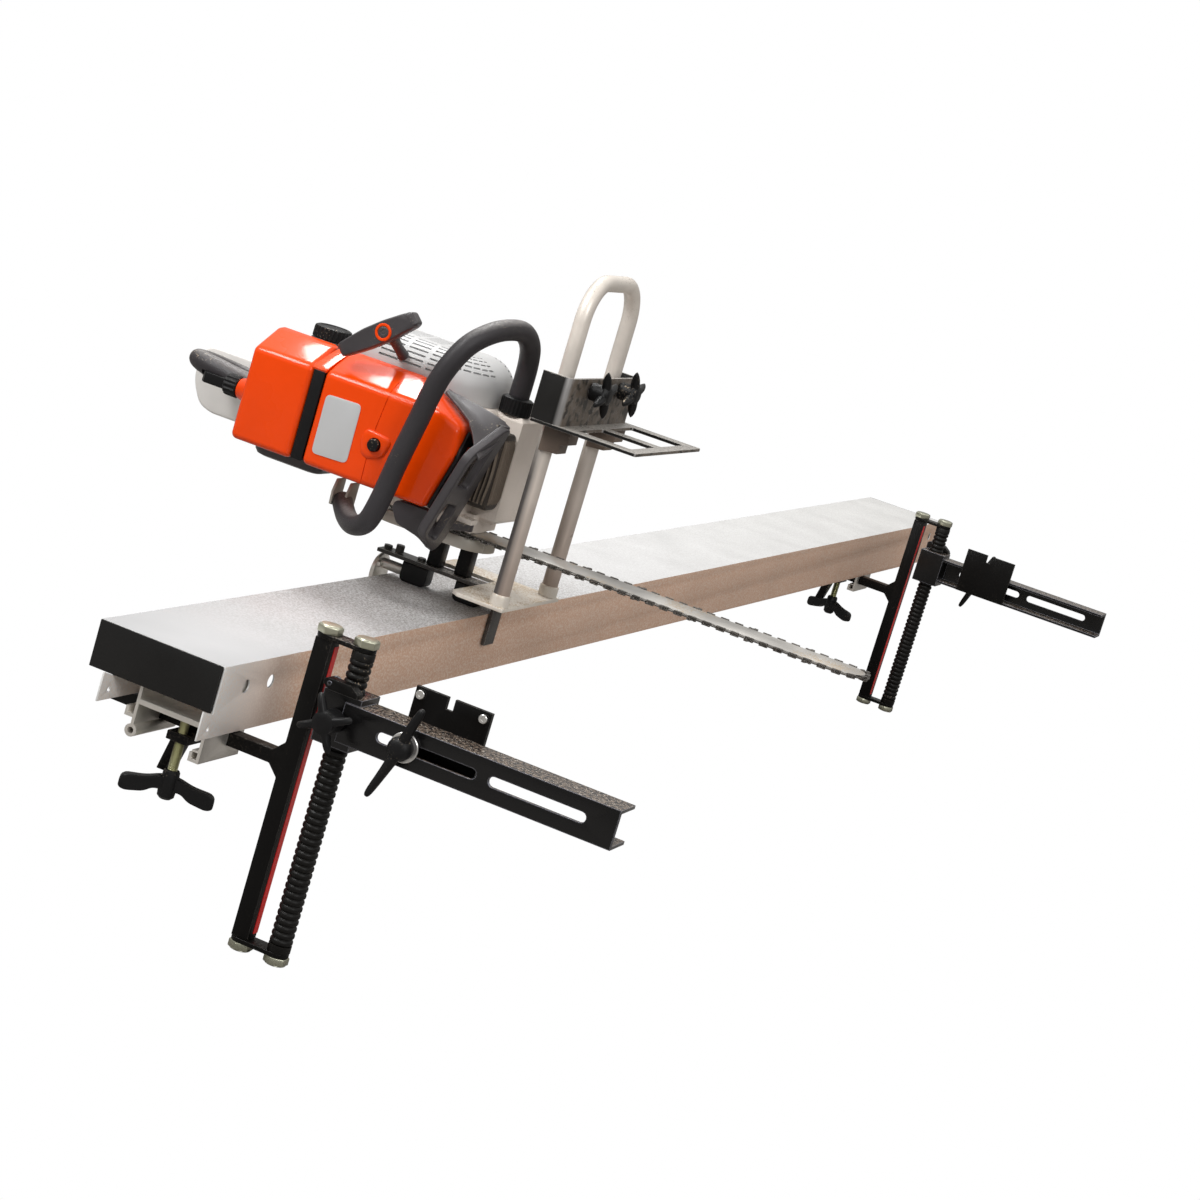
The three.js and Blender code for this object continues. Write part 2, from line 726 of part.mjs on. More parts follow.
// The saddle plate that carries the frame's legs, with a wing beside the beam
const saddle = { thickness: 5, halfLength: 92, logSide: -58, outerSide: 14, cornerCut: 10, wingEnd: 98,
  wingSide: 92 };
const saddleFoot = beamTop + clearance;
const saddleTop = saddleFoot + saddle.thickness;
{
  const a = saddle.halfLength;
  const c = saddle.cornerCut;
  const wingStart = beam.x + beam.width / 2 + overrun;
  const outline = [
    [-a, saddle.logSide], [a, saddle.logSide], [a, saddle.outerSide - c], [saddle.wingEnd, saddle.outerSide],
    [saddle.wingEnd, saddle.wingSide], [wingStart, saddle.wingSide], [wingStart, saddle.outerSide],
    [-a + c, saddle.outerSide], [-a, saddle.outerSide - c],
  ];
  place(carriageGroup, 'saddle_plate', slab('z', outline, saddleFoot, saddleTop), finishes.zincSheet);
}

// The U-shaped frame of painted tube that stands over the bar
const uFrame = { legSpacing: 157, y: -46, radius: 10, top: 447, cornerRadius: 48, socketRadius: 12,
  socketHeight: 14 };
uFrame.cornerSteps = 6;
{
  const half = uFrame.legSpacing / 2;
  const centreTop = uFrame.top - uFrame.radius;
  const foot = saddleTop + clearance;
  const bend = uFrame.cornerRadius;
  const y = uFrame.y;
  const at = (x, z) => new THREE.Vector3(x, y, z);
  const corner = (x, inward) => {
    const points = [];
    for (let i = 0; i <= uFrame.cornerSteps; i += 1) {
      const angle = (quarterTurn * i) / uFrame.cornerSteps;
      points.push(at(x + inward * bend * (1 - Math.cos(angle)), centreTop - bend + bend * Math.sin(angle)));
    }
    return inward > 0 ? points : points.reverse();
  };
  const centres = [at(-half, foot), ...corner(-half, 1), ...corner(half, -1), at(half, foot)];
  const sides = 12;
  const positions = [];
  const triangles = [];
  centres.forEach((centre, i) => {
    const before = centres[Math.max(i - 1, 0)];
    const after = centres[Math.min(i + 1, centres.length - 1)];
    const along = after.clone().sub(before).normalize();
    const sideways = new THREE.Vector3(0, 1, 0);
    const third = along.clone().cross(sideways);
    for (let k = 0; k < sides; k += 1) {
      const angle = (fullTurn * k) / sides;
      const point = centre.clone()
        .addScaledVector(sideways, uFrame.radius * Math.cos(angle))
        .addScaledVector(third, uFrame.radius * Math.sin(angle));
      positions.push(point.x, point.y, point.z);
    }
  });
  for (let i = 0; i < centres.length - 1; i += 1) {
    for (let k = 0; k < sides; k += 1) {
      const a = i * sides + k;
      const b = i * sides + ((k + 1) % sides);
      triangles.push(a, b, a + sides, b, b + sides, a + sides);
    }
  }
  const last = (centres.length - 1) * sides;
  for (let k = 1; k < sides - 1; k += 1) {
    triangles.push(0, k + 1, k);
    triangles.push(last, last + k, last + k + 1);
  }
  const geometry = new THREE.BufferGeometry();
  geometry.setAttribute('position', new THREE.Float32BufferAttribute(positions, 3));
  geometry.setIndex(triangles);
  const tube = solid(geometry);
  const socketTop = foot + uFrame.socketHeight;
  const sockets = [-half, half].map((x) => rod('z', [x, y], foot, socketTop, uFrame.socketRadius, 16));
  place(carriageGroup, 'u_frame', joined(tube, ...sockets), finishes.tubePaint);
}

// The height guide: a black bracket that slides on the two legs, with a slotted foot plate
const guide = {
  halfLength: 117,
  plateTop: 264,
  plate: 4,
  outerY: -170,
  windowEndMargin: 16,
  windowRib: 22,
  windowFrame: 24,
  wallY: -69,
  wallHeight: 58,
  flangeY: -31,
  thickness: 4,
  tubeFit: 0.6,
  clampThickness: 16,
  knobOffset: 49,
  knobRise: 44,
};
const guideWallFoot = guide.plateTop + guide.plate;
const guideWallTop = guideWallFoot + guide.wallHeight;
const guideKnobHeight = guideWallFoot + guide.knobRise;
const guideKnob = { radius: 27, rootRadius: 8, tipHalfWidth: 3.2, hubRadius: 10, thickness: 10, reach: 22,
  shankRadius: 4 };
guideKnob.bevel = 1;
{
  const a = guide.halfLength;
  const t = guide.thickness;
  const back = guide.wallY;
  const channel = [
    [-a, back], [a, back], [a, guide.flangeY], [a - t, guide.flangeY], [a - t, back + t],
    [-a + t, back + t], [-a + t, guide.flangeY], [-a, guide.flangeY],
  ];
  const wall = slab('z', channel, guideWallFoot - clearance, guideWallTop);
  const windowWidth = (2 * a - 2 * guide.windowFrame - guide.windowRib) / 2;
  const windows = [-1, 1].map((side) => {
    const near = side * guide.windowRib / 2;
    const far = side * (guide.windowRib / 2 + windowWidth);
    return box(
      [Math.min(near, far), guide.outerY + guide.windowEndMargin, guide.plateTop - overrun],
      [Math.max(near, far), back - guide.windowEndMargin, guideWallFoot + overrun],
    );
  });
  const foot = cut(box([-a, guide.outerY, guide.plateTop], [a, guide.flangeY, guideWallFoot]), ...windows);
  const half = uFrame.legSpacing / 2;
  const holeRadius = uFrame.radius + guide.tubeFit;
  const clampY = back + t - clearance;
  const clamps = box(
    [-half - holeRadius - t, clampY, guideWallFoot - clearance],
    [half + holeRadius + t, uFrame.y + holeRadius + t, guideWallFoot + guide.clampThickness],
  );
  const bores = [-half, half].map((x) => rod(
    'z',
    [x, uFrame.y],
    guide.plateTop - overrun,
    guideWallTop + overrun,
    holeRadius,
    20,
  ));
  const knobHoles = [-1, 1].map((side) => rod(
    'y',
    [side * guide.knobOffset, guideKnobHeight],
    back - overrun,
    back + t + overrun,
    guideKnob.shankRadius + clearance,
    12,
  ));
  const bracket = cut(joined(wall, foot, clamps), ...bores, ...knobHoles);
  place(carriageGroup, 'height_guide', bracket, finishes.blackSteel);
  [['near_guide_knob', -1], ['far_guide_knob', 1]].forEach(([name, side]) => {
    const at = [side * guide.knobOffset, guideKnobHeight];
    const hubBack = back - clearance;
    const hubFront = hubBack - guideKnob.reach;
    const armFront = hubFront - guideKnob.thickness / 2;
    const arms = slab('y', star(at, guideKnob.radius, guideKnob.rootRadius, 4, guideKnob.tipHalfWidth,
      lockKnob.turn),
      armFront, armFront + guideKnob.thickness, guideKnob.bevel);
    const hub = rod('y', at, hubFront, hubBack, guideKnob.hubRadius, 14);
    const shank = rod('y', at, hubBack - overrun, back + t, guideKnob.shankRadius, 10);
    place(carriageGroup, name, joined(arms, hub, shank), finishes.blackPlastic);
  });
}

// CHAINSAW: lies on its side, with its crankshaft upright, its top towards the rail's near end
// and its rear handle away from the log. Its own origin is on the bar's middle line and plane.
const saw = { y: 95, barHeight: 93, crank: [0, 36] };
const sawGroup = new THREE.Group();
sawGroup.position.set(0, saw.y, saw.barHeight);
carriageGroup.add(sawGroup);

const crankcase = { foot: 20, top: 155, outer: 75, inner: -64, front: -84, step: -50, stepX: -20, back: 138,
  bevel: 5 };
const shaft = { radius: 7, fit: 0.5, foot: -12.4, top: 188, collarRadius: 9 };
const sprocket = { radius: 17, halfThickness: 3, toothDepth: 2, teeth: 7 };
const drum = { radius: 31, foot: -12, top: -5 };
const flywheel = { radius: 52, foot: 162, top: 178, finCount: 12, finHeight: 10, finThickness: 4 };
const brake = { pivotX: -45, pivotY: -60, pinRadius: 4, eyeRadius: 9, armThickness: 9, lowerArm: 8,
  upperArm: 140, fit: 0.3 };
brake.armHalfWidth = 7;
const earThickness = 6;
// The bar is clamped between the crankcase's pad and the sprocket cover
const bar = { halfWidth: 27, thickness: 4, tail: 4, noseCentre: -548, tailRadius: 20, noseGap: 0.6 };
const barPad = { near: -32, far: 46, front: -62, back: 62, foot: 3.4, ridge: 14, ridgeEnd: -6 };
{
  const c = crankcase;
  const outline = [
    [c.inner, c.step], [c.stepX, c.step], [c.stepX, c.front], [c.outer, c.front], [c.outer, c.back],
      [c.inner, c.back],
  ];
  const body = slab('z', outline, c.foot, c.top, c.bevel);
  const bore = rod('z', saw.crank, barPad.foot - overrun, c.top + overrun, shaft.radius + shaft.fit, 16);
  const ears = [brake.lowerArm + brake.armThickness + clearance,
    brake.upperArm - clearance - earThickness].map((low, i) => {
    const half = brake.eyeRadius;
    const ear = box([brake.pivotX - half, brake.pivotY - half, low],
      [brake.pivotX + half, c.step + c.bevel + overrun, low + earThickness]);
    const from = i === 0 ? brake.lowerArm - clearance : low + overrun;
    const to = i === 0 ? low + overrun : brake.upperArm + brake.armThickness + clearance;
    return joined(ear, rod('z', [brake.pivotX, brake.pivotY], from, to, brake.pinRadius, 12));
  });
  const pad = box([barPad.near, barPad.front, barPad.foot],
    [barPad.far, barPad.back, c.foot + c.bevel + overrun]);
  const ridge = box([-barPad.ridge, barPad.front, bar.thickness / 2 + clearance],
    [barPad.ridge, barPad.ridgeEnd, barPad.foot + overrun]);
  place(sawGroup, 'crankcase', joined(cut(joined(body, pad, ridge), bore), ...ears), finishes.greyShell);
}

// Crankshaft with the flywheel above, and the chain sprocket and clutch drum below
{
  const parts = [
    rod('z', saw.crank, shaft.foot, shaft.top, shaft.radius, 16),
    rod('z', saw.crank, flywheel.foot, flywheel.top, flywheel.radius, 28),
    rod('z', saw.crank, drum.foot, drum.top, drum.radius, 28),
    slab('z', ribbedRound(saw.crank, sprocket.radius, sprocket.toothDepth, sprocket.teeth),
      -sprocket.halfThickness, sprocket.halfThickness),
    rod('z', saw.crank, drum.top - overrun, sprocket.halfThickness, shaft.collarRadius, 16),
  ];
  for (let i = 0; i < flywheel.finCount; i += 1) {
    const fin = box(
      [flywheel.radius / 2, -flywheel.finThickness / 2, flywheel.top - overrun],
      [flywheel.radius - overrun, flywheel.finThickness / 2, flywheel.top + flywheel.finHeight],
    );
    parts.push(fin.rotate([0, 0, (360 * i) / flywheel.finCount]).translate([...saw.crank, 0]));
  }
  place(sawGroup, 'crankshaft', joined(...parts), finishes.barSteel);
}

// Starter housing: a louvred dome over the flywheel
const starter = {
  foot: 155,
  top: 209,
  x: 6,
  y: 60,
  halfWidth: 70,
  halfLength: 99,
  corner: 52,
  bevel: 14,
  wall: 4,
  louvreWidth: 5,
  louvrePitch: 10,
  louvreDepth: 1.6,
  louvreRows: 7,
  cavityRadius: 56,
};
function roundedRectangle(x, y, halfX, halfY, corner) {
  const shape = new THREE.Shape();
  shape.moveTo(x - halfX + corner, y - halfY);
  shape.lineTo(x + halfX - corner, y - halfY);
  shape.absarc(x + halfX - corner, y - halfY + corner, corner, -quarterTurn, 0);
  shape.lineTo(x + halfX, y + halfY - corner);
  shape.absarc(x + halfX - corner, y + halfY - corner, corner, 0, quarterTurn);
  shape.lineTo(x - halfX + corner, y + halfY);
  shape.absarc(x - halfX + corner, y + halfY - corner, corner, quarterTurn, Math.PI);
  shape.lineTo(x - halfX, y - halfY + corner);
  shape.absarc(x - halfX + corner, y - halfY + corner, corner, Math.PI, 3 * quarterTurn);
  return shape;
}
{
  const s = starter;
  const foot = s.foot + clearance;
  const outline = roundedRectangle(s.x, s.y, s.halfWidth, s.halfLength, s.corner);
  const dome = slab('z', outline, foot - s.bevel, s.top, s.bevel)
    .subtract(box([-s.halfWidth * 2, -s.halfLength * 2, foot - s.bevel * 2],
      [s.halfWidth * 2, s.halfLength * 2, foot]));
  const cavity = rod('z', saw.crank, foot - overrun, s.top - s.wall * 2, s.cavityRadius, 24);
  const louvres = [];
  for (let i = 0; i < s.louvreRows; i += 1) {
    const y = s.y + (i - (s.louvreRows - 1) / 2) * s.louvrePitch * 2;
    louvres.push(box([s.x - s.halfWidth / 2, y - s.louvreWidth / 2, s.top - s.louvreDepth],
      [s.x + s.halfWidth / 2, y + s.louvreWidth / 2, s.top + overrun]));
  }
  place(sawGroup, 'starter_cover', cut(dome, cavity, ...louvres), finishes.greyShell);
}

// Starter grip: a T-bar with a stem that stands on the rope's outlet
const grip = { x: -110, thickness: 20, low: [126, 179], high: [55, 235], halfHeight: 11,
  outlet: [-64, 72, 186] };
grip.stemRadius = 7;
grip.bevel = 3;
grip.badgeRadius = 9;
grip.badgeHeight = 2;
{
  const front = grip.x - grip.thickness / 2;
  const back = grip.x + grip.thickness / 2;
  const middle = [(grip.low[0] + grip.high[0]) / 2, (grip.low[1] + grip.high[1]) / 2];
  const bar = slab('x', stadium(grip.low, grip.high, grip.halfHeight, 4), front, back, grip.bevel);
  const badge = rod('x', middle, front - grip.badgeHeight, front + overrun, grip.badgeRadius, 18);
  const beyond = box(
    [grip.outlet[0] - clearance, grip.outlet[1] - grip.halfHeight * 2, grip.outlet[2] - grip.halfHeight * 2],
    [grip.outlet[0] + grip.halfHeight * 2, grip.outlet[1] + grip.halfHeight * 2,
      grip.outlet[2] + grip.halfHeight * 2],
  );
  const stem = cut(strut([grip.x, ...middle], grip.outlet, grip.stemRadius, 12), beyond);
  place(sawGroup, 'starter_grip', joined(bar, badge, stem), finishes.darkShell);
}

// Orange covers: a hollow shell with a flat outer face and a slope towards the starter
const cover = {
  face: -122,
  back: crankcase.inner - clearance,
  foot: 30,
  ridge: 146,
  slopeTop: 172,
  slopeX: -72,
  wall: 4,
  nose: [[-36, 30], [-56, 100], [-52, 134], [-8, 150], [15, 162], [34, 172]],
  bandStart: 139.5,
  bandWidth: 16,
  rear: 240,
  bevel: 5,
  bandInset: 2,
};
const coverKnob = { x: -88, z: 86, start: 259, radius: 14, height: 19, ribDepth: 1.6, ribCount: 12,
  baseRadius: 19, baseTip: 12 };
const button = { y: 51, z: 82, radius: 7.5, shroudRadius: 14, shroudHeight: 3, travel: 4, height: 5,
  stemRadius: 4 };
function coverProfile(inset) {
  const c = cover;
  return [
    [c.face + inset, c.foot + inset], [c.back, c.foot + inset], [c.back, c.slopeTop - inset],
    [c.slopeX, c.slopeTop - inset], [c.face + inset, c.ridge - inset],
  ];
}
{
  const c = cover;
  const hollowProfile = coverProfile(c.wall).map(([x, z]) => [x === c.back ? c.back + overrun : x, z]);
  // The nose leans, so the front cover is trimmed by a side view and its hollow by the same view, moved in
  const front = Math.min(...c.nose.map(([y]) => y));
  const noseView = (inset) => slab('x', [
    [c.nose[0][0] + inset, 0], [c.bandStart + overrun, 0], [c.bandStart + overrun, c.slopeTop + c.wall],
    [c.nose[c.nose.length - 1][0] + inset, c.slopeTop + c.wall],
    ...c.nose.slice().reverse().map(([y, z]) => [y + inset, z]),
  ], c.face - overrun, c.back + overrun * 2);
  const frontBlock = slab('y', coverProfile(0), front, c.bandStart, c.bevel).intersect(noseView(0));
  const frontHollow = slab('y', hollowProfile, front, c.bandStart + overrun).intersect(noseView(c.wall));
  const rearFrom = c.bandStart + c.bandWidth;
  const rearBlock = slab('y', coverProfile(0), rearFrom, c.rear, c.bevel);
  const rearHollow = slab('y', hollowProfile, rearFrom - overrun, c.rear - c.wall);
  const shroud = rod('x', [button.y, button.z], c.face - button.shroudHeight, c.face + c.wall,
    button.shroudRadius, 20);
  const buttonHole = rod('x', [button.y, button.z], c.face - button.shroudHeight - overrun,
    c.face + c.wall + overrun,
    button.radius + clearance, 18);
  const frontShell = cut(joined(cut(frontBlock, frontHollow), shroud), buttonHole);
  place(sawGroup, 'front_cover', frontShell, finishes.orangeShell);
  const knobBase = rod('y', [coverKnob.x, coverKnob.z], c.rear - c.wall, coverKnob.start, coverKnob.baseTip,
    24, coverKnob.baseRadius);
  place(sawGroup, 'rear_cover', joined(cut(rearBlock, rearHollow), knobBase), finishes.orangeShell);
  const band = slab('y', coverProfile(c.bandInset), c.bandStart + clearance,
    c.bandStart + c.bandWidth - clearance);
  place(sawGroup, 'filter_band', band, finishes.blackPlastic);
}

// Pressure release button in the front cover, on a stem that reaches the cylinder
const cylinder = { x: -104, back: crankcase.inner - clearance, y: 28, halfLength: 44, foot: 44, top: 130,
  finCount: 6, finDepth: 5, coreInset: 8 };
{
  const c = cylinder;
  const core = box([c.x + c.coreInset, c.y - c.halfLength + c.finDepth, c.foot + c.finDepth],
    [c.back, c.y + c.halfLength - c.finDepth, c.top - c.finDepth]);
  const fins = [];
  for (let i = 0; i < c.finCount; i += 1) {
    const span = c.back - c.x;
    const x = c.x + (span * i) / c.finCount;
    fins.push(box([x, c.y - c.halfLength, c.foot], [x + span / c.finCount / 2, c.y + c.halfLength, c.top]));
  }
  const headBlock = box([c.x, c.y - c.finDepth, c.foot + c.finDepth * 2],
    [c.x + c.coreInset + overrun, c.y + c.finDepth, c.top - c.finDepth * 2]);
  place(sawGroup, 'cylinder', joined(core, headBlock, ...fins), finishes.aluminium);
  const outer = cover.face - button.shroudHeight - button.height;
  place(sawGroup, 'release_button', joined(
    rod('x', [button.y, button.z], outer, cover.face + cover.wall, button.radius, 18),
    rod('x', [button.y, button.z], cover.face, c.x - clearance - button.travel, button.stemRadius, 10),
  ), finishes.blackPlastic);
}

// Muffler in front of the cylinder, with upright ribs
const muffler = { near: -62, far: -22, front: -87, back: crankcase.step - clearance, foot: 42, top: 120,
  ribCount: 6 };
muffler.ribDepth = 4;
muffler.bevel = 3;
muffler.firstGroove = 0.25;
{
  const m = muffler;
  const grooves = [];
  const pitch = (m.far - m.near) / m.ribCount;
  for (let i = 0; i < m.ribCount; i += 1) {
    const x = m.near + (i + m.firstGroove) * pitch;
    grooves.push(box([x, m.front - overrun, m.foot - overrun],
      [x + pitch / 2, m.front + m.ribDepth, m.top - m.ribDepth * 2]));
  }
  const body = slab('y', rectangle(m.near, m.foot, m.far, m.top), m.front, m.back, m.bevel);
  place(sawGroup, 'muffler', cut(body, ...grooves), finishes.darkShell);
}

// Fuel tank and rear handle in one moulding, with the hand guard plate behind the handle
const tank = { inner: -62, outer: 75, back: 236, foot: 10, top: 152, bevel: 6, neckRadius: 25, neckTop: 171 };
tank.neck = [-32, 185];
const rearGrip = { foot: 58, top: 103, inner: -62, outer: -27, end: 362, bevel: 7, loopOuter: 66, post: 30 };
const heelGuard = { inner: 58, outer: 68, foot: 16, top: 100, end: 402, corner: 20 };
const trigger = { pivot: [-38, 256], pinRadius: 2, halfWidth: 9, length: 34, tip: -6, fit: 0.3, pocket: 5,
  heelShare: 0.7 };
const lockout = { pivot: [-57, 322], pinRadius: 1.8, halfWidth: 6.5, length: 62, rise: 6, pocketDepth: 9,
  fit: 0.3 };
lockout.heel = 4;
{
  const start = crankcase.back + clearance;
  const body = slab('z', rectangle(tank.inner, start, tank.outer, tank.back), tank.foot, tank.top,
    tank.bevel);
  const neck = rod('z', tank.neck, tank.top - overrun, tank.neckTop, tank.neckRadius, 24);
  const g = rearGrip;
  const loop = cut(slab('z', [
    [g.inner, tank.back - tank.bevel - overrun], [g.loopOuter, tank.back - tank.bevel - overrun],
    [g.loopOuter, g.end - g.bevel], [g.inner + g.bevel, g.end], [g.inner, g.end - g.bevel],
  ], g.foot, g.top, g.bevel), box(
    [g.outer, tank.back + g.bevel, g.foot - overrun],
    [g.loopOuter - g.bevel * 2, g.end - g.post, g.top + overrun],
  ));
  const middle = (g.foot + g.top) / 2;
  const guardShape = roundedRectangle(
    (tank.back + heelGuard.end) / 2 - tank.bevel,
    (heelGuard.foot + heelGuard.top) / 2,
    (heelGuard.end - tank.back) / 2 + tank.bevel,
    (heelGuard.top - heelGuard.foot) / 2,
    heelGuard.corner,
  );
  const plate = slab('x', guardShape, heelGuard.inner, heelGuard.outer);
  const triggerPocket = box(
    [trigger.pivot[0] - trigger.pocket - trigger.pinRadius,
      trigger.pivot[1] - trigger.pocket - trigger.pinRadius, middle - trigger.halfWidth - clearance],
    [g.outer + overrun, trigger.pivot[1] + trigger.length + trigger.pocket,
      middle + trigger.halfWidth + clearance],
  );
  const lockPocket = box(
    [g.inner - overrun, lockout.pivot[1] - lockout.length - overrun, middle - lockout.halfWidth - clearance],
    [g.inner + lockout.pocketDepth, lockout.pivot[1] + lockout.pocketDepth,
      middle + lockout.halfWidth + clearance],
  );
  const pins = [
    rod('z', trigger.pivot, middle - trigger.halfWidth - overrun, middle + trigger.halfWidth + overrun,
      trigger.pinRadius, 10),
    rod('z', lockout.pivot, middle - lockout.halfWidth - overrun, middle + lockout.halfWidth + overrun,
      lockout.pinRadius, 10),
  ];
  place(sawGroup, 'rear_handle', joined(cut(joined(body, neck, loop, plate), triggerPocket, lockPocket),
    ...pins), finishes.darkShell);

  const [tx, ty] = trigger.pivot;
  const lever = slab('z', [
    [tx - trigger.pinRadius * 2, ty - trigger.pinRadius * 2],
      [tx + trigger.pinRadius * 3, ty - trigger.pinRadius * 2],
    [trigger.tip, ty + trigger.length / 2], [trigger.tip, ty + trigger.length],
    [trigger.tip - trigger.pinRadius * 3, ty + trigger.length],
      [tx + trigger.pinRadius * 2, ty + trigger.length * trigger.heelShare],
    [tx - trigger.pinRadius * 2, ty + trigger.pinRadius * 2],
  ], middle - trigger.halfWidth, middle + trigger.halfWidth);
  place(sawGroup, 'throttle_trigger', cut(lever,
    rod('z', trigger.pivot, g.foot, g.top, trigger.pinRadius + trigger.fit, 12)),
    finishes.blackPlastic);
  const [lx, ly] = lockout.pivot;
  const lockLever = slab('z', [
    [lx - lockout.heel, ly + lockout.heel], [g.inner - lockout.rise, ly - lockout.pinRadius],
    [g.inner - lockout.rise, ly - lockout.length], [g.inner - overrun, ly - lockout.length],
    [lx, ly - lockout.length / 3], [lx + lockout.pinRadius * 2, ly],
  ], middle - lockout.halfWidth, middle + lockout.halfWidth);
  place(sawGroup, 'throttle_lock', cut(lockLever,
    rod('z', lockout.pivot, g.foot, g.top, lockout.pinRadius + lockout.fit, 12)),
    finishes.blackPlastic);
}

// Ribbed caps: the fuel cap on the tank, and the twist knob on the rear cover
const fuelCap = { radius: 24, height: 16, ribDepth: 1.8, ribCount: 20 };
{
  const top = tank.neckTop + clearance;
  place(sawGroup, 'fuel_cap', slab('z',
    ribbedRound(tank.neck, fuelCap.radius, fuelCap.ribDepth, fuelCap.ribCount),
    top, top + fuelCap.height), finishes.blackPlastic);
  const rear = coverKnob.start + clearance;
  place(sawGroup, 'cover_knob', slab('y',
    ribbedRound([coverKnob.x, coverKnob.z], coverKnob.radius, coverKnob.ribDepth, coverKnob.ribCount),
    rear, rear + coverKnob.height), finishes.blackPlastic);
}

// Wrap handle: one bent tube from the underside of the saw, across the covers and over the
// starter's end, into a ribbed collar on the crankcase
const wrap = {
  radius: 12,
  route: [
    [-66, 97, -6], [-95, 73, -17], [-126, 47, -17], [-145, 24, -4], [-150, 13, 28], [-150, 5, 77],
    [-150, -5, 129], [-150, -15, 180], [-146, -26, 213], [-136, -37, 236], [-115, -49, 252], [-88, -59, 260],
    [-55, -65, 259], [-25, -66, 243], [-8, -64, 217], [-2, -62, 178],
  ],
};
const collar = { radius: 20, ribDepth: 1, ribCount: 14, aboveTube: 2 };
{
  const end = wrap.route[wrap.route.length - 1];
  const collarFoot = crankcase.top + clearance;
  const tube = pipe(wrap.route, wrap.radius, 12, 40);
  const cap = slab('z', ribbedRound([end[0], end[1]], collar.radius, collar.ribDepth, collar.ribCount),
    collarFoot, end[2] + collar.aboveTube);
  const start = wrap.route[0];
  const lug = box([start[0] - overrun, start[1] - wrap.radius, start[2] - wrap.radius],
    [crankcase.inner + wrap.radius, start[1] + wrap.radius, crankcase.foot - clearance]);
  place(sawGroup, 'wrap_handle', joined(tube, cap, lug), finishes.handleRubber);
}

// Hand guard of the chain brake: a leaning plate with two windows, an upper and a lower wing that
// run back beside the covers, and two arms that turn on the crankcase's pins
const handGuard = {
  inner: -70,
  outer: -148,
  y: -55,
  leanHeight: 60,
  lean: 13,
  thickness: 11,
  foot: -26,
  top: 151,
  rib: 15,
  outerFootCut: 30,
  outerTopCut: 40,
  lowerWindow: [0, 43],
  upperWindow: [68, 121],
  upperWing: [[-66, 139], [-50, 140], [-31, 146], [-8, 154], [2, 158], [2, 168], [-39, 165], [-84, 154],
    [-84, 142]],
  upperWingX: [-79, -68],
  lowerWing: [[-44, -18], [-30, -6], [4, 1], [14, 20], [10, 27], [-38, 27]],
  lowerWingX: [-112, -92],
  bevel: 2,
  wingBevel: 1,
};
{
  const h = handGuard;
  const r = h.rib;
  const half = h.thickness / 2;
  const outline = [
    [h.inner - r, h.foot], [h.inner, h.foot + r], [h.inner, h.top], [h.inner - r, h.top],
    [h.outer, h.top - h.outerTopCut], [h.outer, h.foot + h.outerFootCut],
  ];
  const windows = [h.lowerWindow, h.upperWindow].map(([low, high]) => slab('y', [
    [h.outer + r, low], [h.inner - r, low], [h.inner - r, high], [h.outer + r, high - r],
  ], -h.thickness, h.thickness));
  const flat = cut(slab('y', outline.reverse(), -half, half, h.bevel), ...windows);
  const plate = flat.translate([0, 0, -h.leanHeight]).rotate([h.lean, 0, 0]).translate([0, h.y,
    h.leanHeight]);
  const wings = [
    slab('x', h.upperWing, h.upperWingX[0], h.upperWingX[1], h.wingBevel),
    slab('x', h.lowerWing, h.lowerWingX[0], h.lowerWingX[1], h.wingBevel),
  ];
  const armRoot = (height) => h.y - (height - h.leanHeight) * Math.tan((h.lean * Math.PI) / 180);
  const arms = [brake.lowerArm, brake.upperArm].map((low) => {
    const top = low + brake.armThickness;
    const reach = stadium([h.inner - half, armRoot(low)], [brake.pivotX, brake.pivotY], brake.armHalfWidth);
    return joined(
      slab('z', reach, low, top),
      rod('z', [brake.pivotX, brake.pivotY], low, top, brake.eyeRadius, 16),
    );
  });
  const bore = rod('z', [brake.pivotX, brake.pivotY], h.foot, h.top, brake.pinRadius + brake.fit, 14);
  place(sawGroup, 'hand_guard', cut(joined(plate, ...wings, ...arms), bore), finishes.darkShell);
}

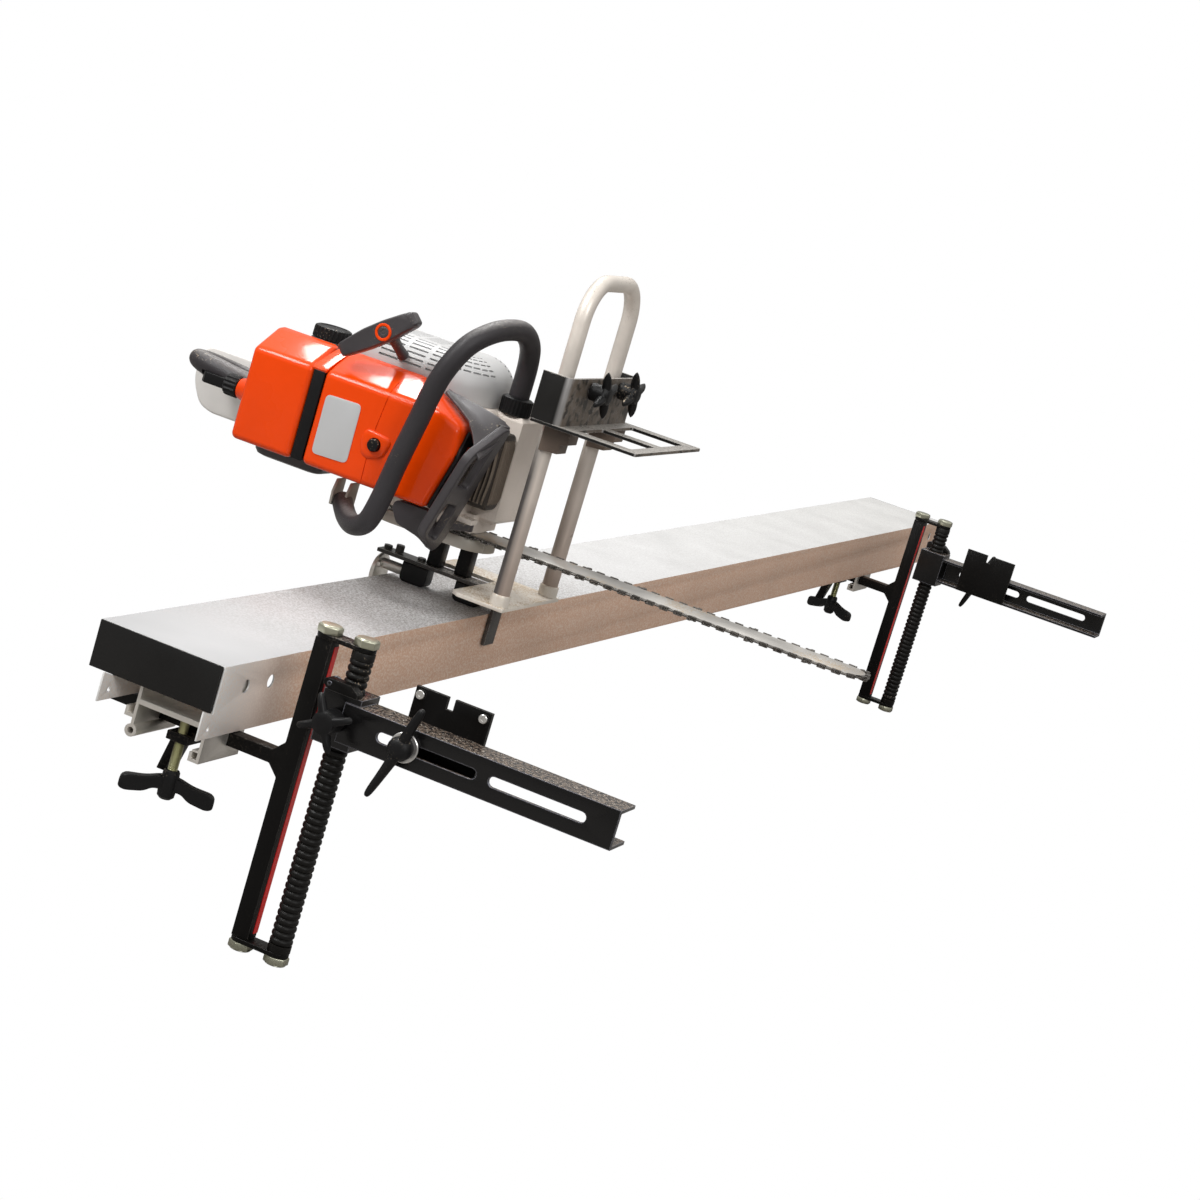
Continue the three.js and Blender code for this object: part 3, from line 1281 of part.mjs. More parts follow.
// Guide bar, chain and nose sprocket
const chain = { height: 6, thickness: 5.5, links: 68, cutterHeight: 3.4, fit: 0.4, sprocketRadius: 20 };
chain.cutterStart = 0.25;
chain.cutterShare = 0.8;
const nose = { radius: 17, halfThickness: 1.4, teeth: 11, toothDepth: 2, pinRadius: 4.25 };
{
  const side = bar.halfWidth;
  const outline = new THREE.Shape();
  outline.moveTo(-side + bar.tailRadius / 2, bar.tail);
  outline.lineTo(-side, bar.tail - bar.tailRadius);
  outline.lineTo(-side, bar.noseCentre);
  outline.absarc(0, bar.noseCentre, side, Math.PI, fullTurn);
  outline.lineTo(side, bar.tail - bar.tailRadius);
  outline.lineTo(side - bar.tailRadius / 2, bar.tail);
  const half = bar.thickness / 2;
  const body = slab('z', outline, -half, half);
  const pocketHalf = nose.halfThickness + clearance;
  const pocket = rod('z', [0, bar.noseCentre], -pocketHalf, pocketHalf, nose.radius + bar.noseGap, 22);
  const pocketMouth = box([-nose.radius, bar.noseCentre - side - overrun, -pocketHalf],
    [nose.radius, bar.noseCentre, pocketHalf]);
  const pin = rod('z', [0, bar.noseCentre], -half, half, nose.pinRadius, 12);
  place(sawGroup, 'guide_bar', joined(cut(body, pocket, pocketMouth), pin), finishes.barSteel);
  const wheel = slab('z', ribbedRound([0, bar.noseCentre], nose.radius, nose.toothDepth, nose.teeth),
    -nose.halfThickness, nose.halfThickness);
  place(sawGroup, 'nose_sprocket', cut(wheel,
    rod('z', [0, bar.noseCentre], -half, half, nose.pinRadius + clearance, 12)),
    finishes.barSteel);
}
{
  // The chain's loop runs round the bar's edge at the given distance, and round the sprocket
  const loop = (offset) => {
    const nosePoints = [];
    const wide = bar.halfWidth + offset;
    for (let i = 0; i <= 12; i += 1) {
      const angle = Math.PI + (Math.PI * i) / 12;
      nosePoints.push([wide * Math.cos(angle), bar.noseCentre + wide * Math.sin(angle)]);
    }
    const tight = chain.sprocketRadius + offset;
    const tailPoints = [];
    for (let i = 0; i <= 8; i += 1) {
      const angle = (Math.PI * i) / 8;
      tailPoints.push([saw.crank[0] + tight * Math.cos(angle), saw.crank[1] + tight * Math.sin(angle)]);
    }
    const shoulder = bar.tail - bar.tailRadius;
    return [...nosePoints, [wide, shoulder], ...tailPoints, [-wide, shoulder]];
  };
  const inner = loop(chain.fit);
  const outer = loop(chain.fit + chain.height);
  const half = chain.thickness / 2;
  const band = cut(slab('z', outer, -half, half), slab('z', inner, -half - overrun, half + overrun));
  // Cutters stand on the straight runs, one to every second link
  const straightStart = bar.tail - bar.tailRadius;
  const run = straightStart - bar.noseCentre;
  const perSide = Math.floor(chain.links / 2);
  const pitch = run / perSide;
  const cutters = [];
  for (let i = 0; i < perSide; i += 2) {
    const y = bar.noseCentre + (i + chain.cutterStart) * pitch;
    [-1, 1].forEach((side) => {
      const root = side * (bar.halfWidth + chain.fit + chain.height - clearance);
      const tip = side * (bar.halfWidth + chain.fit + chain.height + chain.cutterHeight);
      cutters.push(box([Math.min(root, tip), y, -half],
        [Math.max(root, tip), y + pitch * chain.cutterShare, half]));
    });
  }
  place(sawGroup, 'saw_chain', joined(band, ...cutters), finishes.chainSteel);
}

// Sprocket cover under the bar's root, and the two posts that carry it on the beam
const sprocketCover = { x: 5, foot: -18, top: -3.1, halfWidth: 39, front: -82, back: 78, corner: 37,
  wall: 3 };
const posts = { size: 18, rearY: -3, frontY: -42 };
{
  const s = sprocketCover;
  const middle = (s.front + s.back) / 2;
  const halfLength = (s.back - s.front) / 2;
  const body = slab('z', roundedRectangle(s.x, middle, s.halfWidth, halfLength, s.corner), s.foot, s.top);
  const hollowShape = roundedRectangle(s.x, middle, s.halfWidth - s.wall, halfLength - s.wall,
    s.corner - s.wall);
  const hollow = slab('z', hollowShape, s.foot + s.wall, s.top + overrun);
  const rest = box([-barPad.ridge, s.front + s.wall, s.foot],
    [barPad.ridge, barPad.ridgeEnd, -bar.thickness / 2 - clearance]);
  place(sawGroup, 'sprocket_cover', joined(cut(body, hollow), rest), finishes.aluminium);

  const half = posts.size / 2;
  const foot = beamTop + clearance - saw.barHeight;
  const post = (y) => box([beam.x - half, y - half, foot], [beam.x + half, y + half, s.foot - clearance]);
  place(sawGroup, 'rear_post', post(posts.rearY), finishes.blackSteel);
  place(sawGroup, 'front_post', post(posts.frontY), finishes.blackSteel);
}

// The finished part's origin is the middle of the near log plate's back face
const part = new THREE.Group();
const mountHeight = (logPlate.top + logPlate.bottom) / 2;
mill.position.set(-logFaceX, -logPlate.middle, -mountHeight);
part.add(mill);

export default part;
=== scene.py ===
"""Chainsaw mill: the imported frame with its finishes, and its moulded, bent and fine pieces."""
import math

import bmesh
import bpy
from mathutils import Matrix, Vector
from mathutils.geometry import interpolate_bezier


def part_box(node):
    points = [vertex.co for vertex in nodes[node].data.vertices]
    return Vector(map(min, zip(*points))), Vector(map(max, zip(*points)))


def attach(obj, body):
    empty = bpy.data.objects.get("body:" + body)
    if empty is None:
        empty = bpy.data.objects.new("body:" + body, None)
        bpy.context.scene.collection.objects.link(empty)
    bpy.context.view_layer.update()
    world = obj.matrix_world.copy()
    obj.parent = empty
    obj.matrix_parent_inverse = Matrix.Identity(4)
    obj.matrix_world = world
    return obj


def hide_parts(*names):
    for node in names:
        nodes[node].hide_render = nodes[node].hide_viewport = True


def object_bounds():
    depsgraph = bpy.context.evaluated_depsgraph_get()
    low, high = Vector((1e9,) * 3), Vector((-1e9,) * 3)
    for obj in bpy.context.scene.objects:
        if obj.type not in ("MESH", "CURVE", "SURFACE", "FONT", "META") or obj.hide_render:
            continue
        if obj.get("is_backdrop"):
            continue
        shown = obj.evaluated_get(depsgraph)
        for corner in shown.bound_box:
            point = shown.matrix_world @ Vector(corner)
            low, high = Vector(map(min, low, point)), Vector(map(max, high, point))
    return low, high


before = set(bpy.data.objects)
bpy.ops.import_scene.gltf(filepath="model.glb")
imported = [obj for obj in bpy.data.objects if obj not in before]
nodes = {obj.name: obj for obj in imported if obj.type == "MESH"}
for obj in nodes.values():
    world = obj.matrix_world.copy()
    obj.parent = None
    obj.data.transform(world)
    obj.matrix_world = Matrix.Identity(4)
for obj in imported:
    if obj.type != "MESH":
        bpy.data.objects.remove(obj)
cad_low, cad_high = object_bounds()
scene = bpy.context.scene

# CAMERA, LIGHT AND FLOOR
# The view is from beside the rail's near end, with a short telephoto lens rolled a little.
# The light is broad and soft on plain white, brightest overhead.
camera_place = (-2.7728, -1.0393, 0.7299)
camera_right = (0.3525, -0.89145, 0.28471)
camera_up = (0.07461, 0.33004, 0.94101)
camera_back = (-0.93283, -0.31046, 0.18285)
lens_mm = 89.21
sensor_mm = 36.0

camera_data = bpy.data.cameras.new("camera")
camera_data.lens = lens_mm
camera_data.sensor_width = sensor_mm
camera_data.clip_end = 100.0
camera = bpy.data.objects.new("camera", camera_data)
scene.collection.objects.link(camera)
turn = Matrix((camera_right, camera_up, camera_back)).transposed()
camera.matrix_world = Matrix.Translation(camera_place) @ turn.to_4x4()
scene.camera = camera
scene.view_settings.view_transform = "Standard"

horizon_light = 0.15
zenith_light = 1.0
world = bpy.data.worlds.new("soft_sky")
scene.world = world
world.use_nodes = True
sky = world.node_tree
sky.nodes.clear()
sky_out = sky.nodes.new("ShaderNodeOutputWorld")
sky_mix = sky.nodes.new("ShaderNodeMixShader")
sky_seen = sky.nodes.new("ShaderNodeBackground")
sky_lit = sky.nodes.new("ShaderNodeBackground")
sky_path = sky.nodes.new("ShaderNodeLightPath")
sky_place = sky.nodes.new("ShaderNodeTexCoord")
sky_split = sky.nodes.new("ShaderNodeSeparateXYZ")
sky_range = sky.nodes.new("ShaderNodeMapRange")
sky_range.inputs["From Min"].default_value = -0.05
sky_range.inputs["From Max"].default_value = 0.75
sky_range.inputs["To Min"].default_value = horizon_light
sky_range.inputs["To Max"].default_value = zenith_light
sky_lit.inputs["Color"].default_value = (1.0, 0.985, 0.96, 1.0)
sky_seen.inputs["Color"].default_value = (1.0, 1.0, 1.0, 1.0)
for source, target in (
    (sky_place.outputs["Generated"], sky_split.inputs[0]),
    (sky_split.outputs["Z"], sky_range.inputs["Value"]),
    (sky_range.outputs["Result"], sky_lit.inputs["Strength"]),
    (sky_path.outputs["Is Camera Ray"], sky_mix.inputs[0]),
    (sky_lit.outputs[0], sky_mix.inputs[1]),
    (sky_seen.outputs[0], sky_mix.inputs[2]),
    (sky_mix.outputs[0], sky_out.inputs[0]),
):
    sky.links.new(source, target)


def soft_light(name, place, target, size, power):
    """A square area light turned towards a point."""
    data = bpy.data.lights.new(name, "AREA")
    data.size = size
    data.energy = power
    lamp = bpy.data.objects.new(name, data)
    lamp.location = place
    lamp.rotation_mode = "QUATERNION"
    lamp.rotation_quaternion = (Vector(target) - Vector(place)).to_track_quat("-Z", "Y")
    scene.collection.objects.link(lamp)


soft_light("key_light", (-1.2, 1.8, 2.6), (0.4, 0.3, 0.2), 1.1, 72.0)
soft_light("side_light", (-2.4, -2.6, 2.2), (0.6, 0.0, 0.0), 1.2, 44.0)
soft_light("slope_light", (1.5, 1.15, 2.4), (0.55, 0.38, 0.25), 0.55, 26.0)

floor_half = 30.0
floor_gap = 0.002
floor_z = cad_low.z - floor_gap
floor_mesh = bpy.data.meshes.new("floor")
floor_mesh.from_pydata(
    [(-floor_half, -floor_half, floor_z), (floor_half, -floor_half, floor_z),
     (floor_half, floor_half, floor_z), (-floor_half, floor_half, floor_z)],
    [], [(0, 1, 2, 3)])
floor = bpy.data.objects.new("floor", floor_mesh)
scene.collection.objects.link(floor)
floor_paint = bpy.data.materials.new("pale_floor")
floor_paint.use_nodes = True
floor_tree = floor_paint.node_tree
floor_tree.nodes.clear()
floor_out = floor_tree.nodes.new("ShaderNodeOutputMaterial")
floor_mix = floor_tree.nodes.new("ShaderNodeMixShader")
floor_path = floor_tree.nodes.new("ShaderNodeLightPath")
floor_matt = floor_tree.nodes.new("ShaderNodeBsdfDiffuse")
floor_white = floor_tree.nodes.new("ShaderNodeEmission")
floor_matt.inputs["Color"].default_value = (0.26, 0.25, 0.24, 1.0)
floor_tree.links.new(floor_path.outputs["Is Camera Ray"], floor_mix.inputs[0])
floor_tree.links.new(floor_matt.outputs[0], floor_mix.inputs[1])
floor_tree.links.new(floor_white.outputs[0], floor_mix.inputs[2])
floor_tree.links.new(floor_mix.outputs[0], floor_out.inputs[0])
floor_mesh.materials.append(floor_paint)
floor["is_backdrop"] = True

# GUIDE RAIL
# One folded zinc-coated sheet, bright, rubbed at its edges and dusty, with painted shade on its near end
# and near the saw, and a black moulded cover at each end. The surface effects and mesh helpers that the
# other pieces share are made here.


def effect_group(name, inputs, outputs):
    """An empty shader node group with its sockets."""
    tree = bpy.data.node_groups.new(name, "ShaderNodeTree")
    for label, kind, value in inputs:
        socket = tree.interface.new_socket(name=label, in_out="INPUT", socket_type=kind)
        socket.default_value = value
    for label, kind in outputs:
        tree.interface.new_socket(name=label, in_out="OUTPUT", socket_type=kind)
    return tree, tree.nodes.new("NodeGroupInput"), tree.nodes.new("NodeGroupOutput")


def new_node(tree, kind, links=(), **settings):
    """A node with its settings, and links given as (input name or index, source socket or value)."""
    node = tree.nodes.new(kind)
    for key, value in settings.items():
        setattr(node, key, value)
    for key, source in links:
        if isinstance(source, bpy.types.NodeSocket):
            tree.links.new(source, node.inputs[key])
        else:
            node.inputs[key].default_value = source
    return node


def ramp(tree, source, low, high, first=0.0, last=1.0):
    """A value carried from one range to another, and held at its ends."""
    return new_node(tree, "ShaderNodeMapRange", [
        ("Value", source), ("From Min", low), ("From Max", high), ("To Min", first),
        ("To Max", last)]).outputs["Result"]


def product(tree, a, b):
    """Two values multiplied."""
    return new_node(tree, "ShaderNodeMath", [(0, a), (1, b)], operation="MULTIPLY").outputs[0]


def tint(tree, factor, surface, colour):
    """A surface colour mixed towards another by a factor."""
    mixed = new_node(tree, "ShaderNodeMix", [("Factor", factor), (6, surface), (7, (*colour, 1.0))],
                     data_type="RGBA")
    return mixed.outputs[2]


def spots(tree, scale, detail):
    """Noise in the part's own frame, so that it moves with its body."""
    place = new_node(tree, "ShaderNodeTexCoord")
    return new_node(tree, "ShaderNodeTexNoise", [
        ("Vector", place.outputs["Object"]), ("Scale", scale), ("Detail", detail)]).outputs["Fac"]


def facing_parts(tree):
    """The surface's direction, split into X, Y and Z."""
    shape = new_node(tree, "ShaderNodeNewGeometry")
    return new_node(tree, "ShaderNodeSeparateXYZ", [(0, shape.outputs["Normal"])])


FLOAT, VECTOR = "NodeSocketFloat", "NodeSocketVector"

# Grain: an uneven value and a fine bump
grain_group, grain_in, grain_out = effect_group(
    "surface_grain", [("Scale", FLOAT, 900.0), ("Strength", FLOAT, 0.2)],
    [("Value", FLOAT), ("Normal", VECTOR)])
grain_bump = new_node(grain_group, "ShaderNodeBump", [
    ("Height", spots(grain_group, grain_in.outputs["Scale"], 3.0)),
    ("Strength", grain_in.outputs["Strength"]),
    ("Distance", 0.0006)])
grain_group.links.new(spots(grain_group, 11.0, 4.0), grain_out.inputs["Value"])
grain_group.links.new(grain_bump.outputs["Normal"], grain_out.inputs["Normal"])

# Edges: a tint where the surface turns sharply, broken up by noise; rubbed edges on most finishes, and a
# painted highlight on the arm's edges
wear_and_sheen_group, wear_and_sheen_in, wear_and_sheen_out = effect_group(
    "edge_wear_and_sheen", [("Radius", FLOAT, 0.0015), ("Amount", FLOAT, 0.5)], [("Mask", FLOAT)])
wear_and_sheen_bevel = new_node(wear_and_sheen_group, "ShaderNodeBevel", [("Radius", wear_and_sheen_in.outputs["Radius"])], samples=4)
wear_and_sheen_shape = new_node(wear_and_sheen_group, "ShaderNodeNewGeometry")
wear_and_sheen_dot = new_node(wear_and_sheen_group, "ShaderNodeVectorMath", [
    (0, wear_and_sheen_bevel.outputs["Normal"]), (1, wear_and_sheen_shape.outputs["Normal"])], operation="DOT_PRODUCT")
wear_and_sheen_turn = new_node(wear_and_sheen_group, "ShaderNodeMath", [
    (0, 1.0), (1, wear_and_sheen_dot.outputs["Value"])], operation="SUBTRACT")
wear_and_sheen_broken = product(wear_and_sheen_group, product(wear_and_sheen_group, wear_and_sheen_turn.outputs[0], 9.0),
                      spots(wear_and_sheen_group, 160.0, 5.0))
wear_and_sheen_group.links.new(ramp(wear_and_sheen_group, wear_and_sheen_broken, 0.22, 0.62, 0.0, wear_and_sheen_in.outputs["Amount"]),
                     wear_and_sheen_out.inputs["Mask"])

# Sawdust: fine specks and patches on what faces up
dust_group, dust_in, dust_out = effect_group(
    "sawdust", [("Amount", FLOAT, 0.3), ("Scale", FLOAT, 420.0)], [("Mask", FLOAT)])
dust_up = ramp(dust_group, facing_parts(dust_group).outputs["Z"], 0.1, 0.9, 0.15)
dust_spots = product(dust_group, spots(dust_group, dust_in.outputs["Scale"], 2.0),
                     spots(dust_group, 14.0, 3.0))
dust_level = new_node(dust_group, "ShaderNodeMath", [
    (0, dust_in.outputs["Amount"]), (1, -0.22), (2, 0.42)], operation="MULTIPLY_ADD")
dust_high = new_node(dust_group, "ShaderNodeMath", [(0, dust_level.outputs[0]), (1, 0.08)], operation="ADD")
dust_range = ramp(dust_group, dust_spots, dust_level.outputs[0], dust_high.outputs[0])
dust_group.links.new(product(dust_group, dust_range, dust_up), dust_out.inputs["Mask"])


def finish(name, colour, roughness, metallic=0.0, variation=0.15, grain=900.0, bump=0.2,
           wear_and_sheen=0.0, wear_and_sheen_colour=(0.5, 0.48, 0.45), dust=0.0, dust_colour=(0.62, 0.50, 0.36), coat=0.0, edge=0.0012,
           specular=0.5):
    """A procedural surface: base colour with uneven tone, grain, tinted edges and sawdust; the edge tint is
    rubbed metal on most finishes and a painted highlight on the arm.
    """
    material = bpy.data.materials.new(name)
    material.use_nodes = True
    tree = material.node_tree
    shader = tree.nodes["Principled BSDF"]
    grain_node = new_node(tree, "ShaderNodeGroup", node_tree=grain_group)
    grain_node.inputs["Scale"].default_value = grain
    grain_node.inputs["Strength"].default_value = bump
    tone = ramp(tree, grain_node.outputs["Value"], 0.3, 0.7, 1.0 - variation, 1.0 + variation)
    toned = new_node(tree, "ShaderNodeVectorMath", [(0, colour), ("Scale", tone)], operation="SCALE")
    surface = toned.outputs["Vector"]
    if wear_and_sheen > 0.0:
        wear_and_sheen_node = new_node(tree, "ShaderNodeGroup", node_tree=wear_and_sheen_group)
        wear_and_sheen_node.inputs["Radius"].default_value = edge
        wear_and_sheen_node.inputs["Amount"].default_value = wear_and_sheen
        surface = tint(tree, wear_and_sheen_node.outputs["Mask"], surface, wear_and_sheen_colour)
    if dust > 0.0:
        dust_node = new_node(tree, "ShaderNodeGroup", node_tree=dust_group)
        dust_node.inputs["Amount"].default_value = dust
        surface = tint(tree, dust_node.outputs["Mask"], surface, dust_colour)
    tree.links.new(surface, shader.inputs["Base Color"])
    rough = ramp(tree, grain_node.outputs["Value"], 0.3, 0.7, max(roughness - 0.08, 0.02),
                 min(roughness + 0.08, 1.0))
    tree.links.new(rough, shader.inputs["Roughness"])
    tree.links.new(grain_node.outputs["Normal"], shader.inputs["Normal"])
    shader.inputs["Metallic"].default_value = metallic
    shader.inputs["Specular IOR Level"].default_value = specular
    shader.inputs["Coat Weight"].default_value = coat
    shader.inputs["Coat Roughness"].default_value = 0.08
    return material


# Smooth shading below a limit angle, as a modifier, so that a frame mesh stays as it is
smooth_limit = math.radians(34.0)
smooth_tree = bpy.data.node_groups.new("smooth_shading", "GeometryNodeTree")
smooth_tree.interface.new_socket(name="Geometry", in_out="INPUT", socket_type="NodeSocketGeometry")
smooth_tree.interface.new_socket(name="Geometry", in_out="OUTPUT", socket_type="NodeSocketGeometry")
smooth_in = smooth_tree.nodes.new("NodeGroupInput")
smooth_out = smooth_tree.nodes.new("NodeGroupOutput")
smooth_faces = new_node(smooth_tree, "GeometryNodeSetShadeSmooth", [
    ("Geometry", smooth_in.outputs[0]), ("Shade Smooth", True)], domain="FACE")
smooth_angle = new_node(smooth_tree, "GeometryNodeInputMeshEdgeAngle")
smooth_test = new_node(smooth_tree, "FunctionNodeCompare", [
    (0, smooth_angle.outputs["Unsigned Angle"]), (1, smooth_limit)], operation="LESS_THAN")
smooth_edges = new_node(smooth_tree, "GeometryNodeSetShadeSmooth", [
    ("Geometry", smooth_faces.outputs[0]), ("Shade Smooth", smooth_test.outputs[0])], domain="EDGE")
smooth_tree.links.new(smooth_edges.outputs[0], smooth_out.inputs[0])


def soften(obj, bevel=0.0008, segments=2, weld=True):
    """Small rounded edges and smooth shading, all as modifiers."""
    if weld:
        merge = obj.modifiers.new("weld", "WELD")
        merge.merge_threshold = 0.00002
        flat = obj.modifiers.new("flatten", "DECIMATE")
        flat.decimate_type = "DISSOLVE"
        flat.angle_limit = math.radians(1.0)
    if bevel > 0.0:
        round_off = obj.modifiers.new("edges", "BEVEL")
        round_off.width = bevel
        round_off.segments = segments
        round_off.limit_method = "ANGLE"
        round_off.angle_limit = math.radians(36.0)
        round_off.harden_normals = False
    smooth = obj.modifiers.new("smooth", "NODES")
    smooth.node_group = smooth_tree


def dress(material, *names, bevel=0.0008, segments=2):
    """Gives frame nodes a finish and softened edges."""
    for name in names:
        obj = nodes[name]
        for slot in obj.material_slots:
            slot.material = material
        soften(obj, bevel, segments)


def mesh_object(name, bm):
    """A bmesh as an object in the scene."""
    mesh = bpy.data.meshes.new(name)
    bm.to_mesh(mesh)
    bm.free()
    obj = bpy.data.objects.new(name, mesh)
    scene.collection.objects.link(obj)
    return obj


def piece(name, bm, material, body, bevel=0.0, segments=3, stands_for=(), levels=0):
    """A mesh object from bmesh, with its finish, that rides on a body."""
    bmesh.ops.recalc_face_normals(bm, faces=bm.faces)
    obj = mesh_object(name, bm)
    obj.data.materials.append(material)
    if levels:
        rounded = obj.modifiers.new("rounded", "SUBSURF")
        rounded.levels = rounded.render_levels = levels
    soften(obj, bevel, segments, weld=False)
    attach(obj, body)
    if stands_for:
        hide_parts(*stands_for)
    return obj


def prism(bm, outline, axis, low, high):
    """Extrudes an outline of (y, z), (x, z) or (x, y) points along an axis, in metres."""
    place = {"x": lambda u, v, w: (w, u, v), "y": lambda u, v, w: (u, w, v),
             "z": lambda u, v, w: (u, v, w)}[axis]
    lower = [bm.verts.new(place(u, v, low)) for u, v in outline]
    upper = [bm.verts.new(place(u, v, high)) for u, v in outline]
    bm.faces.new(lower)
    bm.faces.new(upper[::-1])
    for i in range(len(outline)):
        j = (i + 1) % len(outline)
        bm.faces.new((lower[i], lower[j], upper[j], upper[i]))


def lathe(bm, centre, axis, profile, sides=40):
    """Turns a profile of (radius, distance) about a line through centre."""
    along = Vector(axis).normalized()
    across = along.orthogonal().normalized()
    third = along.cross(across)
    rings = []
    for radius, distance in profile:
        ring = []
        for k in range(sides):
            angle = math.tau * k / sides
            ring.append(bm.verts.new(Vector(centre) + along * distance
                                     + (across * math.cos(angle) + third * math.sin(angle)) * radius))
        rings.append(ring)
    for a, b in zip(rings, rings[1:]):
        for k in range(sides):
            bm.faces.new((a[k], a[(k + 1) % sides], b[(k + 1) % sides], b[k]))
    bm.faces.new(rings[0][::-1])
    bm.faces.new(rings[-1])


def smooth_route(points, steps=8):
    """Points on a smooth curve through the given ones."""
    route = [Vector(p) for p in points]
    result = []
    for i in range(len(route) - 1):
        before = route[max(i - 1, 0)]
        start, end = route[i], route[i + 1]
        after = route[min(i + 2, len(route) - 1)]
        leave = start + (end - before) / 6.0
        arrive = end - (after - start) / 6.0
        result += interpolate_bezier(start, leave, arrive, end, steps + 1)[:-1]
    return result + [route[-1]]


def sweep(bm, route, radius, sides=28):
    """A round tube along a route, turned as little as possible; radius may be a list."""
    radii = radius if isinstance(radius, (list, tuple)) else [radius] * len(route)
    direction = (route[1] - route[0]).normalized()
    side = direction.orthogonal().normalized()
    rings = []
    for i, point in enumerate(route):
        ahead = (route[min(i + 1, len(route) - 1)] - route[max(i - 1, 0)]).normalized()
        side = (side - ahead * side.dot(ahead)).normalized()
        third = ahead.cross(side)
        rings.append([bm.verts.new(point + (side * math.cos(math.tau * k / sides)
                                            + third * math.sin(math.tau * k / sides)) * radii[i])
                      for k in range(sides)])
    for a, b in zip(rings, rings[1:]):
        for k in range(sides):
            bm.faces.new((a[k], a[(k + 1) % sides], b[(k + 1) % sides], b[k]))
    bm.faces.new(rings[0][::-1])
    bm.faces.new(rings[-1])


zinc_sheet = finish("zinc_sheet", (0.86, 0.86, 0.85), 0.6, metallic=0.35, variation=0.03, grain=500.0,
                    bump=0.1, wear_and_sheen=0.2, wear_and_sheen_colour=(0.9, 0.9, 0.88))
cover_black = finish("cover_black", (0.008, 0.0078, 0.0075), 0.36, bump=0.25, wear_and_sheen=0.3,
                     wear_and_sheen_colour=(0.09, 0.09, 0.09), specular=0.3)
zinc_tree = zinc_sheet.node_tree
zinc_shader = zinc_tree.nodes["Principled BSDF"]
zinc_colour = zinc_shader.inputs["Base Color"].links[0].from_socket
zinc_place = new_node(zinc_tree, "ShaderNodeTexCoord")
along_rail = new_node(zinc_tree, "ShaderNodeSeparateXYZ", [(0, zinc_place.outputs["Object"])]).outputs["X"]
zinc_facing = facing_parts(zinc_tree)
faces_up = ramp(zinc_tree, zinc_facing.outputs["Z"], 0.5, 0.9)
faces_log = ramp(zinc_tree, zinc_facing.outputs["Y"], -0.5, -0.9)
zinc_specks = spots(zinc_tree, 420.0, 3.0)

# The deck's tone: painted shade, darker towards the near end where the lamps fall more strongly,
# and dark specks near the saw
for metres, share_near, share_far, colour in (
    ((0.9, 2.6), 0.95, 0.1, (0.62, 0.62, 0.625)), ((-0.05, 0.5), 0.95, 0.0, (0.40, 0.40, 0.405)),
):
    near_end_painted_shade = product(zinc_tree, faces_up, ramp(zinc_tree, along_rail, *metres, share_near, share_far))
    zinc_colour = tint(zinc_tree, near_end_painted_shade, zinc_colour, colour)
# Dark specks near the saw, on what faces up: partly dust and partly the saw's painted shadow and reflection
near_saw = product(zinc_tree, ramp(zinc_tree, along_rail, 0.0, 0.42),
                   ramp(zinc_tree, along_rail, 0.75, 1.15, 1.0, 0.25))
dust_and_shadow_specks = product(zinc_tree, ramp(zinc_tree, zinc_specks, 0.44, 0.58, 0.15), near_saw)
speck_share = ramp(zinc_tree, zinc_facing.outputs["Z"], 0.5, 0.9, 0.0, 0.75)
zinc_colour = tint(zinc_tree, product(zinc_tree, dust_and_shadow_specks, speck_share), zinc_colour, (0.20, 0.175, 0.16))

# The flange under the sawing: a warm tint, partly wood dust and partly a painted reflection of the log,
# and pale specks on it
log_reflection_and_dust = product(zinc_tree, ramp(zinc_tree, along_rail, -0.08, 0.1, 0.1, 0.95), faces_log)
zinc_colour = tint(zinc_tree, log_reflection_and_dust, zinc_colour, (0.69, 0.43, 0.29))
pale_specks = product(zinc_tree, ramp(zinc_tree, zinc_specks, 0.46, 0.60, 0.0, 0.6), faces_log)
zinc_colour = tint(zinc_tree, pale_specks, zinc_colour, (0.86, 0.74, 0.65))
zinc_tree.links.new(zinc_colour, zinc_shader.inputs["Base Color"])
dress(zinc_sheet, "rail_deck", bevel=0.0006)
dress(cover_black, "near_end_cover", "far_end_cover", bevel=0.0007)

# BRACKETS
# Black powder-coated steel, scuffed along its edges, with zinc-plated bolts, a ribbed rack, black
# moulded knobs and a red strip down each column.
black_steel = finish("black_steel", (0.0035, 0.0032, 0.003), 0.34, metallic=0.0, bump=0.3, grain=1500.0,
                     wear_and_sheen=0.5, wear_and_sheen_colour=(0.16, 0.15, 0.14), dust=0.3, dust_colour=(0.16, 0.135, 0.11),
                     specular=0.16)
# The arm's edge colour is a painted highlight: the sky's reflection along its rolled edges.
arm_steel = finish("arm_steel", (0.004, 0.0038, 0.004), 0.2, bump=0.2, grain=1500.0, wear_and_sheen=0.6,
                   wear_and_sheen_colour=(0.30, 0.30, 0.34), edge=0.0022, specular=0.4)
black_plastic = finish("black_plastic", (0.005, 0.005, 0.0055), 0.42, bump=0.3, grain=1800.0,
                       wear_and_sheen=0.3, wear_and_sheen_colour=(0.06, 0.06, 0.06), dust=0.12, specular=0.25)
rack_black = finish("rack_black", (0.005, 0.0045, 0.004), 0.4, bump=0.35, grain=1400.0,
                    wear_and_sheen=0.25, wear_and_sheen_colour=(0.08, 0.07, 0.065), dust=0.15, specular=0.22)
zinc_plate = finish("zinc_plate", (0.46, 0.46, 0.36), 0.28, metallic=0.9, variation=0.22, grain=700.0,
                    wear_and_sheen=0.5, wear_and_sheen_colour=(0.85, 0.85, 0.78))
zinc_thread = finish("zinc_thread", (0.62, 0.62, 0.42), 0.25, metallic=0.95, variation=0.2, grain=700.0)
